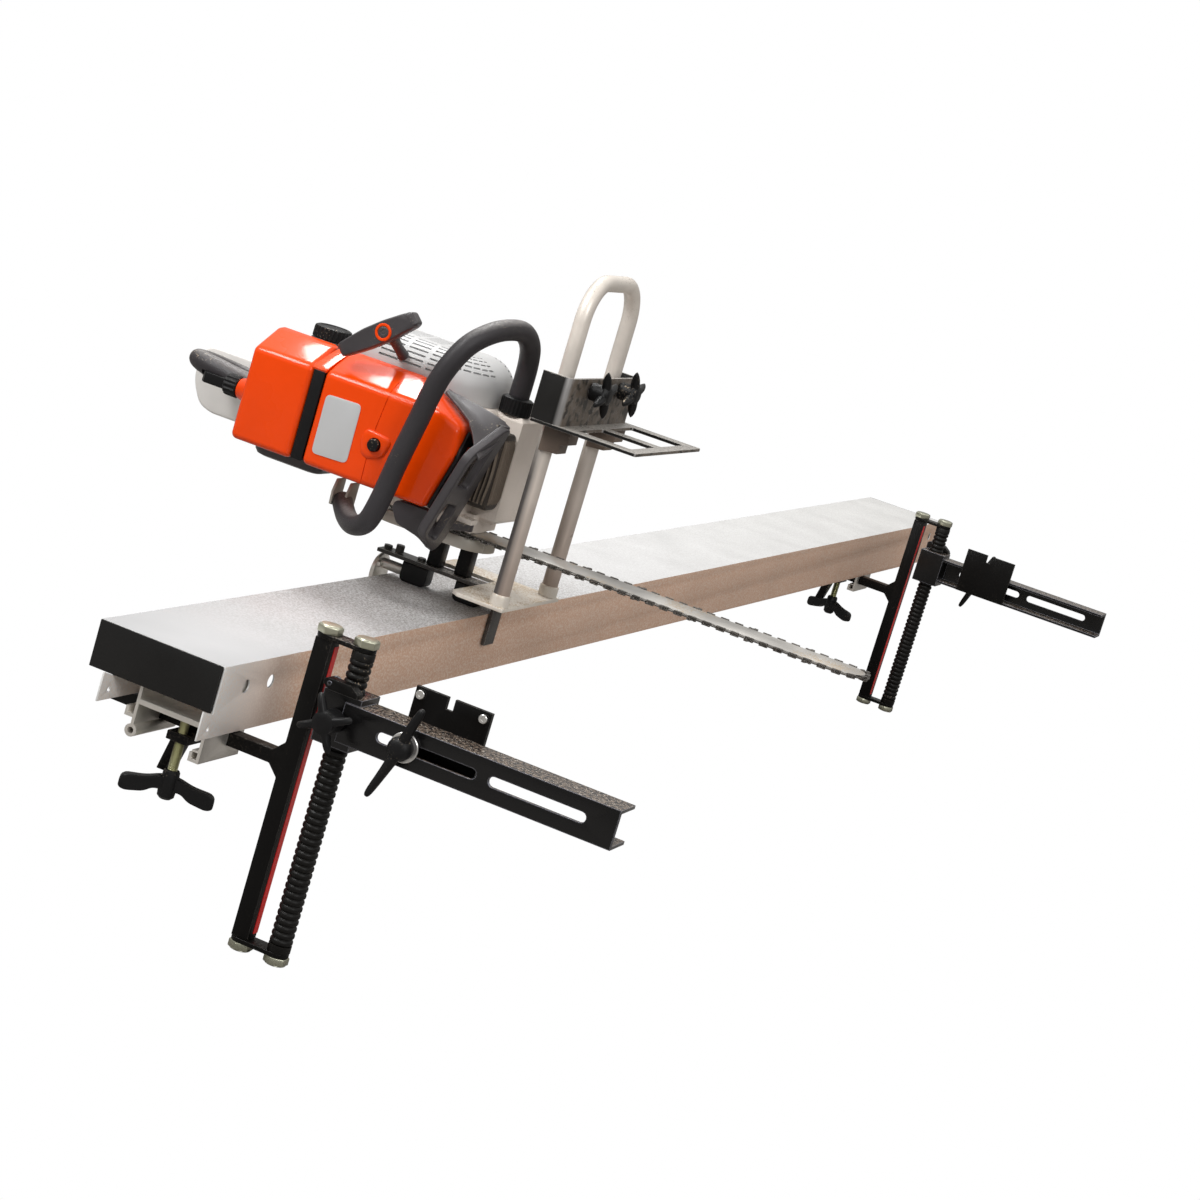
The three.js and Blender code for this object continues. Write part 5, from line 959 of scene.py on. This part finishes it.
def cover_shell(name, y_low, y_high, cuts, width):
    """A cover between two places along the saw, cut by planes through (y, z) pairs."""
    bm = bmesh.new()
    prism(bm, flat_outline(cover_section, "y"), "y", saw_level("y", y_low), saw_level("y", y_high))
    bmesh.ops.recalc_face_normals(bm, faces=bm.faces)
    for start, end in cuts:
        a, b = saw(0, *start), saw(0, *end)
        run = (b - a).normalized()
        made = bmesh.ops.bisect_plane(bm, geom=bm.verts[:] + bm.edges[:] + bm.faces[:], plane_co=a,
                                      plane_no=Vector((0.0, -run.z, run.y)), clear_outer=True)
        rim = [e for e in made["geom_cut"] if isinstance(e, bmesh.types.BMEdge)]
        bmesh.ops.contextual_create(bm, geom=rim)
    back = saw_level("x", -64.3) - 0.0005
    open_faces = [f for f in bm.faces if all(v.co.x > back for v in f.verts)]
    bmesh.ops.delete(bm, geom=open_faces, context="FACES_ONLY")
    bmesh.ops.recalc_face_normals(bm, faces=bm.faces)
    middle = sum((v.co for v in bm.verts), Vector()) / len(bm.verts)
    outward = max(bm.faces, key=lambda f: f.calc_area())
    if outward.normal.dot(outward.calc_center_median() - middle) < 0:
        bmesh.ops.reverse_faces(bm, faces=bm.faces)
    obj = mesh_object(name, bm)
    obj.data.materials.append(orange_shell)
    broad = obj.modifiers.new("broad", "BEVEL")
    broad.width = width
    broad.segments = 7
    broad.limit_method = "ANGLE"
    broad.angle_limit = math.radians(12.0)
    wall = obj.modifiers.new("wall", "SOLIDIFY")
    wall.thickness = shell_wall
    wall.offset = -1.0
    return obj


def settle(obj, body, *stands_for):
    """Smooth shading, riding and standing for frame nodes."""
    soften(obj, 0.0, weld=False)
    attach(obj, body)
    if stands_for:
        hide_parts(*stands_for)


button_at = (51.0, 82.0)
button_hole = cutter("button_hole", lambda bm: lathe(
    bm, saw(-140, *button_at), (1, 0, 0), [(0.0082, 0.0), (0.0082, 0.030)], 32))
seam_points = [(51.2, 146), (51.2, 142.9), (56.1, 100.7), (57.0, 62.7), (55.8, 25)]
seam_half = 0.45
seam_cut = cutter("seam_cut", lambda bm: prism(
    bm, flat_outline([(y - seam_half, z) for y, z in seam_points]
                     + [(y + seam_half, z) for y, z in seam_points[::-1]], "x"),
    "x", saw_level("x", -130), saw_level("x", -120.4)))
slope_low = Vector((cover_face, 0.0, saw_level("z", 146)))
slope_high = Vector((saw_level("x", -72), 0.0, saw_level("z", 172)))


def on_slope(y, share, lift=0.0):
    """A point on the covers' slope: share runs from the ridge to the slope's top."""
    point = slope_low.lerp(slope_high, share)
    run = (slope_high - slope_low).normalized()
    outward = Vector((-run.z, 0.0, run.x))
    return Vector((point.x, saw_level("y", y), point.z)) + outward * lift


slope_seam = cutter("slope_seam", lambda bm: loft(bm, [
    [on_slope(y - seam_half, share, -0.0016), on_slope(y + seam_half, share, -0.0016),
     on_slope(y + seam_half, share, 0.02), on_slope(y - seam_half, share, 0.02)]
    for y, share in ((50.8, -0.1), (51.2, 0.0), (52.5, 0.25), (53.8, 0.5), (42.0, 0.75), (29.0, 1.1))]))


def finger_dip(bm):
    """An oval that dips into the slope."""
    run = (slope_high - slope_low).normalized()
    outward = Vector((-run.z, 0.0, run.x))
    bmesh.ops.create_uvsphere(bm, u_segments=40, v_segments=24, radius=1.0)
    middle = on_slope(33.0, 0.52, 0.0035)
    along, up, deep = 0.0135, 0.017, 0.0058
    for vertex in bm.verts:
        local = vertex.co.copy()
        vertex.co = (middle + Vector((0, 1, 0)) * local.x * along + run * local.y * up
                     + outward * local.z * deep)


front_shell = cover_shell("front_cover_shell", -58, 139.2,
                          [((-31, 30), (-51, 100)), ((-51, 100), (-48, 134)), ((-48, 134), (34, 172))],
                          0.0125)
carve(front_shell, button_hole, seam_cut, slope_seam, cutter("finger_dip", finger_dip))
settle(front_shell, "carriage", "front_cover")

# Inside the front cover's edge: a dark baffle that leans with it, and a light panel on the baffle
baffle_knee, baffle_lean = 100, 20 / 70
baffle_ring = rounded([(-119, 31), (-65, 31), (-65, 132), (-96, 132), (-119, 106)], 9.0)
panel_ring = rounded([(-112, 36), (-66, 36), (-66, 99), (-112, 99)], 6.0)
bm = bmesh.new()
loft(bm, [[saw(x, -56 + max(baffle_knee - z, 0) * baffle_lean + max(z - baffle_knee, 0) * 0.09 + depth, z)
           for x, z in baffle_ring] for depth in (0.0, 4.6)])
piece("front_baffle", bm, black_plastic, "carriage", bevel=0.0015)
bm = bmesh.new()
loft(bm, [[saw(x, -56.2 + (baffle_knee - z) * baffle_lean - lift, z) for x, z in panel_ring]
          for lift in (0.0, 1.4)])
piece("front_panel", bm, case_shell, "carriage", bevel=0.0004)

# Rear cover, with the round seat of its knob
rear_shell = cover_shell("rear_cover_shell", 155.8, 240, [], 0.0125)
settle(rear_shell, "carriage", "rear_cover")
bm = bmesh.new()
lathe(bm, saw(-88, 237, 86), (0, 1, 0),
      [(0.0215, 0.0), (0.0205, 0.004), (0.0175, 0.0085), (0.0148, 0.014), (0.0132, 0.019), (0.0122, 0.0217)],
      40)
piece("knob_base", bm, orange_shell, "carriage")


def ribbed_cap(bm, centre, axis, profile, ribs, depth):
    """A cap turned from a profile of (radius, distance, groove share), with upright grooves."""
    along = Vector(axis).normalized()
    across = along.orthogonal().normalized()
    third = along.cross(across)
    rings = []
    for radius, distance, share in profile:
        ring = []
        for k in range(ribs * 6):
            angle = math.tau * k / (ribs * 6)
            dip = depth * share * (1.0, 1.0, 0.7, 0.0, 0.0, 0.7)[k % 6]
            turned = across * math.cos(angle) + third * math.sin(angle)
            ring.append(centre + along * distance + turned * (radius - dip))
        rings.append(ring)
    loft(bm, rings)


bm = bmesh.new()
ribbed_cap(bm, saw(-88, 259.4, 86), (0, 1, 0),
           [(0.0128, 0.0, 0.0), (0.0140, 0.0012, 0.5), (0.0140, 0.0030, 1.0), (0.0138, 0.0150, 1.0),
            (0.0130, 0.0175, 0.4), (0.0105, 0.0188, 0.0), (0.0040, 0.0190, 0.0)], 15, 0.0016)
piece("ribbed_knob", bm, black_plastic, "cover_knob", stands_for=("cover_knob",))
bm = bmesh.new()
ribbed_cap(bm, saw(-32, 185, 171.4), (0, 0, 1),
           [(0.0225, 0.0, 0.0), (0.0240, 0.0012, 0.6), (0.0240, 0.0030, 1.0), (0.0238, 0.0118, 1.0),
            (0.0228, 0.0145, 0.4), (0.0200, 0.0158, 0.0), (0.0170, 0.0159, 0.0), (0.0160, 0.0148, 0.0),
            (0.0050, 0.0146, 0.0)], 26, 0.0015)
piece("ribbed_fuel_cap", bm, black_plastic, "fuel_cap", stands_for=("fuel_cap",))

# Fuel tank and rear handle: a dark tank, a slim rubbery grip and a pale guard plate behind it
guard_grey = finish("guard_grey", (0.78, 0.76, 0.73), 0.5, variation=0.12, grain=1200.0, bump=0.15, dust=0.2)
bm = bmesh.new()
tank_outline = rounded([(-62, 138.4), (75, 138.4), (75, 237), (-62, 237)], 16.0)
tank_middle, tank_half = (6.5, 187.7), (68.5, 49.3)
tank_rings = []
for z, inset in ((10, 9), (12, 4), (17, 1), (24, 0), (138, 0), (146, 1), (150, 4), (152, 9)):
    tank_rings.append([saw(tank_middle[0] + (x - tank_middle[0]) * (1 - inset / tank_half[0]),
                           tank_middle[1] + (y - tank_middle[1]) * (1 - inset / tank_half[1]), z)
                       for x, y in tank_outline])
loft(bm, tank_rings)
piece("tank_shell", bm, dark_shell, "carriage", stands_for=("rear_handle",))
bm = bmesh.new()
lathe(bm, saw(-32, 185, 150), (0, 0, 1), [(0.0245, 0.0), (0.0245, 0.0195), (0.0235, 0.021)], 40)
piece("tank_neck", bm, dark_shell, "carriage")
grip_route = smooth_route([saw(*p) for p in (
    (-45, 228, 80), (-45, 250, 81), (-45, 290, 86), (-46, 325, 92), (-44, 344, 95), (-30, 353, 95),
    (0, 355, 92), (30, 352, 87), (48, 340, 83), (56, 318, 80), (58, 285, 79), (58, 228, 79))], 6)
grip_sizes = ((0.0, 0.0175), (0.1, 0.0178), (0.25, 0.0150), (0.36, 0.0125), (0.42, 0.0115), (0.5, 0.0105),
              (0.62, 0.0098), (1.0, 0.0095))


def along_sizes(share, sizes):
    for (a, low), (b, high) in zip(sizes, sizes[1:]):
        if share <= b:
            return low + (high - low) * (share - a) / (b - a)
    return sizes[-1][1]


bm = bmesh.new()
sweep(bm, grip_route, [along_sizes(i / (len(grip_route) - 1), grip_sizes) for i in range(len(grip_route))],
      32)
rear_grip = piece("rear_grip", bm, handle_rubber, "carriage")
carve(rear_grip,
      cutter("trigger_pocket", lambda bm: block(bm, saw(-45, 249, 71.2), saw(-20, 295, 89.8))),
      cutter("lock_pocket", lambda bm: block(bm, saw(-80, 258, 73.7), saw(-53, 331, 87.3))))
soften(rear_grip, 0.0, weld=False)
bm = bmesh.new()
heel_outline = [(230, 17), (366, 17), (384, 24), (396, 44), (401, 62), (396, 92), (386, 100), (230, 100)]
prism(bm, flat_outline(rounded(heel_outline, 9.0), "x"), "x", saw_level("x", 60), saw_level("x", 68))
piece("heel_guard", bm, guard_grey, "carriage", bevel=0.003)

# The boss round the button, with uneven corners, and the button's collar
boss_outline = [(66.5, 98.8), (34.6, 95.2), (30.8, 88.6), (36.8, 69.4), (57.0, 62.7), (67.0, 67.2),
                (71.3, 86.3)]
boss_rise = 3.0
boss_rings = []
for share, height in ((1.0, -0.5), (1.0, 0.4), (0.94, 1.6), (0.80, 2.6), (0.62, boss_rise)):
    ring = [(button_at[0] + (y - button_at[0]) * share, button_at[1] + (z - button_at[1]) * share)
            for y, z in rounded(boss_outline, 7.0)]
    boss_rings.append([Vector((cover_face - height / 1000.0, y / 1000.0 + saw_origin.y,
                               z / 1000.0 + saw_origin.z)) for y, z in ring])
bm = bmesh.new()
loft(bm, boss_rings)
boss = piece("button_boss", bm, orange_shell, "carriage")
carve(boss, cutter("boss_hole", lambda bm: lathe(
    bm, saw(-140, *button_at), (1, 0, 0), [(0.0088, 0.0), (0.0088, 0.030)], 32)))
soften(boss, 0.0, weld=False)

# The blank plate on the cover
plate_corners = [(129.4, 120.7), (81.4, 122.2), (80.3, 48.7), (128.4, 46.9)]
plate_metal = finish("blank_plate", (0.66, 0.67, 0.68), 0.3, metallic=0.4, variation=0.03, grain=900.0,
                     bump=0.03)
bm = bmesh.new()
prism(bm, flat_outline(rounded(plate_corners, 7.0), "x"), "x", cover_face - 0.0009, cover_face + 0.0004)
piece("blank_plate", bm, plate_metal, "carriage", bevel=0.0003, segments=2)

# The strap over the band's top
strap_rings = []
for share in (0.02, 0.15, 0.3, 0.45, 0.6, 0.75, 0.9, 1.0):
    low_y = 157.5 - 6.0 * share ** 2
    high_y = low_y - 19.0
    strap_rings.append([on_slope(low_y, share, -0.004), on_slope(high_y, share, -0.004),
                        on_slope(high_y, share, 0.0), on_slope(low_y, share, 0.0)])
bm = bmesh.new()
loft(bm, strap_rings)
piece("band_strap", bm, orange_shell, "carriage", bevel=0.0008)

# Wrap handle: a rubbery tube on its route, its ribbed collar, and the two light stirrups at its start
wrap_radius = 0.0128
wrap_points = [
    (-66, 97, -6), (-95, 73, -17), (-126, 47, -17), (-145, 24, -4), (-150, 13, 28), (-150, 5, 77),
    (-150, -5, 129), (-150, -15, 180), (-146, -26, 213), (-136, -37, 236), (-115, -49, 252), (-88, -59, 260),
    (-55, -65, 259), (-25, -66, 243), (-8, -64, 217), (-2, -62, 178)]
bm = bmesh.new()
sweep(bm, smooth_route([saw(*p) for p in wrap_points], 10), wrap_radius, 36)
piece("wrap_tube", bm, handle_rubber, "carriage", stands_for=("wrap_handle",))
bm = bmesh.new()
collar_ribs = 26
rings = []
for height, radius in ((155.3, 18.6), (156.3, 19.6), (158.5, 19.9), (172.5, 19.9), (175.0, 19.2),
                       (176.6, 16.5), (177.2, 12.2)):
    ring = []
    for k in range(collar_ribs * 4):
        angle = math.tau * k / (collar_ribs * 4)
        groove = 1.1 if k % 4 in (1, 2) and 158 < height < 173 else 0.0
        ring.append(saw(-2 + (radius - groove) * math.cos(angle), -62 + (radius - groove) * math.sin(angle),
                        height))
    rings.append(ring)
loft(bm, rings)
piece("wrap_collar", bm, black_plastic, "carriage")
stirrup_outline, stirrup_width = [(-78, -13), (-52, -17), (-52, 19.5), (-74, 19.5), (-80, 4)], 3.5
for label, y in (("front", 86), ("rear", 105)):
    bm = bmesh.new()
    prism(bm, flat_outline(stirrup_outline, "y"), "y", saw_level("y", y), saw_level("y", y + stirrup_width))
    piece(f"wrap_stirrup_{label}", bm, cast_metal, "carriage", bevel=0.0012)

# Starter grip: a tapered bar with an orange ring round its middle
grip_low, grip_high = Vector((126, 179)), Vector((55, 235))
grip_front, grip_back = -121.0, -100.0
grip_run = (grip_high - grip_low).normalized()
grip_side = Vector((-grip_run.y, grip_run.x))


def grip_outline(scale):
    """The bar's outline from the front, drawn in about its middle."""
    centre = (grip_low + grip_high) / 2
    points = []
    for along, wide in ((-7, -8), (6, -10), (32, -13), (60, -13), (84, -11), (99, -9),
                        (101, 7), (95, 10), (62, 13), (30, 12.5), (8, 10.5), (-6, 9)):
        point = grip_low + grip_run * along + grip_side * wide
        points.append(centre + (point - centre) * scale)
    return rounded([(p.x, p.y) for p in points], 4.0, 3)


grip_rings = []
for x, scale in ((grip_front, 0.86), (grip_front + 1.2, 0.95), (grip_front + 4, 1.0),
                 (grip_back - 4, 1.0), (grip_back - 1.2, 0.95), (grip_back, 0.86)):
    grip_rings.append([saw(x, y, z) for y, z in grip_outline(scale)])
bm = bmesh.new()
loft(bm, grip_rings)
piece("grip_bar", bm, dark_shell, "starter_grip", stands_for=("starter_grip",))
grip_middle = (81.0, 213.0)
bm = bmesh.new()
lathe(bm, saw(grip_front, *grip_middle), (-1, 0, 0),
      [(0.0108, -0.001), (0.0108, 0.0006), (0.0100, 0.0014), (0.0080, 0.0014), (0.0072, 0.0006),
       (0.0072, -0.001)], 40)
piece("grip_ring", bm, orange_shell, "starter_grip")
bm = bmesh.new()
lathe(bm, saw(grip_front, *grip_middle), (-1, 0, 0),
      [(0.0071, -0.001), (0.0071, 0.0003), (0.0060, 0.0010), (0.0034, 0.0010), (0.0030, 0.0002),
       (0.0005, 0.0002)], 32)
piece("grip_button", bm, dark_shell, "starter_grip")
outlet = saw(-64, 72, 186)
stem_start = saw(grip_back - 3, *grip_middle)
bm = bmesh.new()
stem_end = outlet + (stem_start - outlet).normalized() * 0.001
sweep(bm, [stem_start.lerp(stem_end, t) for t in (0.0, 0.25, 0.5, 0.75, 1.0)],
      [0.0085, 0.0070, 0.0064, 0.0064, 0.0072], 24)
piece("grip_stem", bm, dark_shell, "starter_grip")

# Starter cover: a domed housing with rows of narrow louvres
dome = {"x": 6.0, "y": 60.0, "half_x": 70.0, "half_y": 99.0, "corner": 52.0, "foot": 155.3, "top": 209.0,
        "round_in": 40.0, "round_up": 36.0}


def dome_ring(inset, height, steps=10):
    half_x, half_y = dome["half_x"] - inset, dome["half_y"] - inset
    corner = max(dome["corner"] - inset, 1.0)
    ring = []
    for sx, sy, start in ((1, -1, -0.25), (1, 1, 0.0), (-1, 1, 0.25), (-1, -1, 0.5)):
        for k in range(steps + 1):
            angle = math.tau * (start + 0.25 * k / steps)
            ring.append(saw(dome["x"] + sx * (half_x - corner) + corner * math.cos(angle),
                            dome["y"] + sy * (half_y - corner) + corner * math.sin(angle), height))
    return ring


def dome_curve(angle):
    """Inset and height of the dome's shoulder: 0 is the upright wall and a quarter turn the top."""
    return (dome["round_in"] * (1 - math.cos(angle)), dome["top"] - dome["round_up"] * (1 - math.sin(angle)))


bm = bmesh.new()
loft(bm, [dome_ring(0.0, dome["foot"]), dome_ring(0.0, dome["foot"] + 4)]
     + [dome_ring(*dome_curve(math.pi / 2 * k / 14)) for k in range(15)])
starter_dome = piece("starter_dome", bm, grey_shell, "carriage", stands_for=("starter_cover",))
slot_half_width, slot_half_length, slot_deep, slot_over = 1.25, 13.0, 3.4, 3.0
straight_x, straight_y = dome["half_x"] - dome["corner"], dome["half_y"] - dome["corner"]


def slot(bm, place, along, outward, half_length):
    """A narrow box that sinks into the surface at a place."""
    side = along.cross(outward)
    rings = []
    for height in (-slot_deep, slot_over):
        rings.append([saw(*(place + outward * height + along * (u * half_length)
                            + side * (v * slot_half_width)))
                      for u, v in ((-1, -1), (1, -1), (1, 1), (-1, 1))])
    loft(bm, rings)


def louvre_slots(bm):
    """Slots in columns down both shoulders and over the top, and short ones round the front corners."""
    columns = [dome["y"] + offset for offset in (-32.0, 0.0, 32.0)]
    for x in range(-14, 30, 6):
        for y in columns:
            slot(bm, Vector((x, y, dome["top"])), Vector((0, 1, 0)), Vector((0, 0, 1)), slot_half_length)
    for k in range(7):
        angle = math.radians(12.0 + 11.0 * k)
        inset, height = dome_curve(angle)
        rise, lean = dome["round_up"] * math.cos(angle), dome["round_in"] * math.sin(angle)
        for hand in (-1, 1):
            outward = Vector((hand * rise, 0.0, lean)).normalized()
            for y in columns:
                slot(bm, Vector((dome["x"] + hand * (dome["half_x"] - inset), y, height)),
                     Vector((0, 1, 0)), outward, slot_half_length)
            for j in range(5 if k > 1 else 0):
                turned = math.radians(12.0 + 16.0 * j)
                facing = Vector((hand * math.cos(turned), -math.sin(turned), 0.0))
                radius = dome["corner"] - inset
                corner_middle = Vector((dome["x"] + hand * straight_x, dome["y"] - straight_y, height))
                slot(bm, corner_middle + facing * radius, facing.cross(Vector((0, 0, 1))),
                     (facing * rise + Vector((0, 0, lean))).normalized(), radius * 0.11)


carve(starter_dome, cutter("louvre_slots", louvre_slots))
soften(starter_dome, 0.0, weld=False)

# Hand guard: a leaning rounded frame with two windows, a hood that runs back above the cover, a lower
# wing, and two arms on the crankcase's pins
guard_back, guard_front, guard_lean, guard_turn_z, guard_y = 4.5, -7.0, math.radians(16.0), 60.0, -60.0
guard_pin = (-45.0, -60.0)


def guard_place(x, depth, z):
    """A point on the leaning plate: depth is from its middle plane."""
    rise = z - guard_turn_z
    return saw(x, depth * math.cos(guard_lean) - rise * math.sin(guard_lean) + guard_y,
               depth * math.sin(guard_lean) + rise * math.cos(guard_lean) + guard_turn_z)


def guard_slab(bm, outline, radius, front, back):
    loft(bm, [[guard_place(x, depth, z) for x, z in rounded(outline, radius)] for depth in (front, back)])


bm = bmesh.new()
guard_slab(bm, [(-85, -26), (-70, -11), (-70, 151), (-85, 152), (-147, 116), (-148, 4)], 13.0, guard_front,
           guard_back)
guard_plate = piece("guard_plate", bm, dark_shell, "hand_guard", stands_for=("hand_guard",))
carve(guard_plate,
      cutter("upper_window",
             lambda bm: guard_slab(bm, [(-135, 72), (-95, 66), (-95, 130), (-135, 108)], 8.0, -30, 30)),
      cutter("lower_window",
             lambda bm: guard_slab(bm, [(-135, 4), (-99, -7), (-96, 42), (-135, 48)], 8.0, -30, 30)))
soften(guard_plate, 0.0048, 6, weld=False)
bm = bmesh.new()
hood = []
for y, x_in, z_in, x_out, z_out in (
    (-88, -72, 147, -138, 112), (-80, -69, 153, -136, 119), (-64, -68, 157, -119, 134),
    (-48, -68, 160, -102, 145), (-26, -68, 163, -88, 154), (-8, -68, 166, -80, 161),
    (2, -68, 168, -75, 165),
):
    upper, lower = [], []
    for k in range(9):
        share = k / 8
        sag = 5.0 * math.sin(math.pi * share) * (x_in - x_out) / 65
        x, z = x_in + (x_out - x_in) * share, z_in + (z_out - z_in) * share - sag
        upper.append(saw(x, y, z))
        lower.append(saw(x, y, z - 3.4))
    hood.append(upper + lower[::-1])
loft(bm, hood)
piece("guard_hood", bm, dark_shell, "hand_guard", bevel=0.0012)
bm = bmesh.new()
prism(bm, flat_outline(rounded([(-46, -16), (-30, -7), (2, 0), (13, 18), (9, 27), (-38, 27)], 6.0), "x"), "x",
      saw_level("x", -112), saw_level("x", -92))
piece("guard_wing", bm, dark_shell, "hand_guard", bevel=0.0035, segments=4)
for label, low in (("lower", 8.0), ("upper", 140.0)):
    root = Vector((-75.0, guard_y - (low - guard_turn_z) * math.tan(guard_lean)))
    run = Vector(guard_pin) - root
    start = math.atan2(run.y, run.x)
    outline = [(guard_pin[0] + 9 * math.cos(start - math.pi / 2 + math.pi * k / 12),
                guard_pin[1] + 9 * math.sin(start - math.pi / 2 + math.pi * k / 12)) for k in range(13)]
    outline += [(root.x + 7 * math.cos(start + math.pi / 2 + math.pi * k / 12),
                 root.y + 7 * math.sin(start + math.pi / 2 + math.pi * k / 12)) for k in range(13)]
    bm = bmesh.new()
    loft(bm, [[saw(x, y, low + rise) for x, y in outline] for rise in (0.0, 9.0)])
    arm = piece(f"guard_arm_{label}", bm, dark_shell, "hand_guard")
    carve(arm, cutter("pin_hole", lambda bm: lathe(bm, saw(*guard_pin, low - 5), (0, 0, 1),
                                                   [(0.0043, 0.0), (0.0043, 0.020)], 32)))
    soften(arm, 0.0012, 2, weld=False)

# Muffler: a dark tall shell with bowed upright ribs
muffler_dark = finish("muffler_dark", (0.040, 0.032, 0.026), 0.45, metallic=0.4, variation=0.25, grain=900.0,
                      bump=0.4, wear_and_sheen=0.5, wear_and_sheen_colour=(0.36, 0.31, 0.26), dust=0.3)
muffler_rib = finish("muffler_rib", (0.17, 0.135, 0.105), 0.42, metallic=0.5, variation=0.25, grain=900.0,
                     bump=0.4, wear_and_sheen=0.4, wear_and_sheen_colour=(0.42, 0.36, 0.30), dust=0.3)
muffler_foot, muffler_top = 40.0, 136.0
bm = bmesh.new()
loft(bm, [[saw(x, y, z) for x, z in rounded([(-62, muffler_foot), (-20, muffler_foot), (-20, muffler_top),
                                             (-62, muffler_top)], 12.0)] for y in (-82.0, -50.4)])
piece("muffler_body", bm, muffler_dark, "carriage", bevel=0.003, stands_for=("muffler",))
bm = bmesh.new()
rib_profile = ((-1, 0), (-0.85, 0.6), (-0.45, 0.92), (0, 1.0), (0.45, 0.92), (0.85, 0.6), (1, 0))
for count, first, pitch, deep in ((6, -79.0, 5.3, 3.6), (6, -54.0, 5.2, 4.0)):
    across_face = first > -60.0
    for i in range(count):
        rings = []
        for k in range(17):
            share = k / 16
            z = muffler_foot + 7 + (muffler_top - muffler_foot - 14) * share
            bow = math.sin(math.pi * share)
            middle, rise = first + i * pitch, deep * min(1.0, 4.0 * bow) + 1.0
            if across_face:
                rings.append([saw(middle + 1.6 * u, -81.0 - rise * v, z) for u, v in rib_profile])
            else:
                rings.append([saw(-61.0 - rise * v, middle + 2.4 - 3.0 * bow + 1.6 * u, z)
                              for u, v in rib_profile])
        loft(bm, rings)
piece("muffler_ribs", bm, muffler_rib, "carriage")

# Chain: drive links, side links and cutters round the bar and the sprocket
chain_line = 3.6
track = []
wide = 27.0 + chain_line
for k in range(25):
    angle = math.pi + math.pi * k / 24
    track.append(Vector((wide * math.cos(angle), -548 + wide * math.sin(angle))))
track.append(Vector((wide, -16)))
tight = 20.0 + chain_line
for k in range(17):
    angle = math.pi * k / 16
    track.append(Vector((tight * math.cos(angle), 36 + tight * math.sin(angle))))
track.append(Vector((-wide, -16)))
track.append(track[0].copy())
lengths = [0.0]
for a, b in zip(track, track[1:]):
    lengths.append(lengths[-1] + (b - a).length)
link_count = 144
link_pitch = lengths[-1] / link_count


def track_at(distance):
    """A place on the chain's line and its direction."""
    distance %= lengths[-1]
    for i in range(len(track) - 1):
        if distance <= lengths[i + 1]:
            step = track[i + 1] - track[i]
            return track[i] + step * ((distance - lengths[i]) / step.length), step.normalized()
    return track[-1], (track[-1] - track[-2]).normalized()


def link_part(bm, at, heading, outline, low, high):
    """A plate with an outline of (along, outward) points, between two heights."""
    outward = Vector((heading.y, -heading.x))
    rings = []
    for z in (low, high):
        rings.append([saw(*(at + heading * u + outward * v), z) for u, v in outline])
    loft(bm, rings)


side_plate = [(-4.6, -2.4), (4.6, -2.4), (5.6, 0), (4.6, 2.2), (1.2, 1.6), (-1.2, 1.6), (-4.6, 2.2),
              (-5.6, 0)]
drive_plate = [(-4.4, -3.0), (4.4, -3.0), (4.9, 0), (3.8, 2.8), (-3.8, 2.8), (-4.9, 0)]
cutter_side = [(-5.4, -2.4), (5.4, -2.4), (5.8, 0), (5.2, 3.6), (3.6, 3.0), (2.2, 1.4), (0.6, 2.4),
               (-0.4, 5.6), (-5.0, 4.6)]
bm = bmesh.new()
for i in range(link_count):
    at, heading = track_at(i * link_pitch)
    if i % 2:
        link_part(bm, at, heading, drive_plate, -0.75, 0.75)
    elif i % 4 == 0:
        left = 1 if i % 8 == 0 else -1
        link_part(bm, at, heading, cutter_side, left * 1.0, left * 2.5)
        link_part(bm, at, heading, side_plate, -left * 1.0, -left * 2.5)
        link_part(bm, at, heading, [(-5.0, 4.4), (-0.4, 5.4), (-0.2, 6.0), (-5.0, 5.0)], -left * 0.6,
                  left * 2.7)
    else:
        link_part(bm, at, heading, side_plate, 1.0, 2.5)
        link_part(bm, at, heading, side_plate, -1.0, -2.5)
piece("chain_links", bm, chain_steel, "carriage", stands_for=("saw_chain",))

# SIZE
# The frame's box and the finished model's box.
low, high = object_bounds()
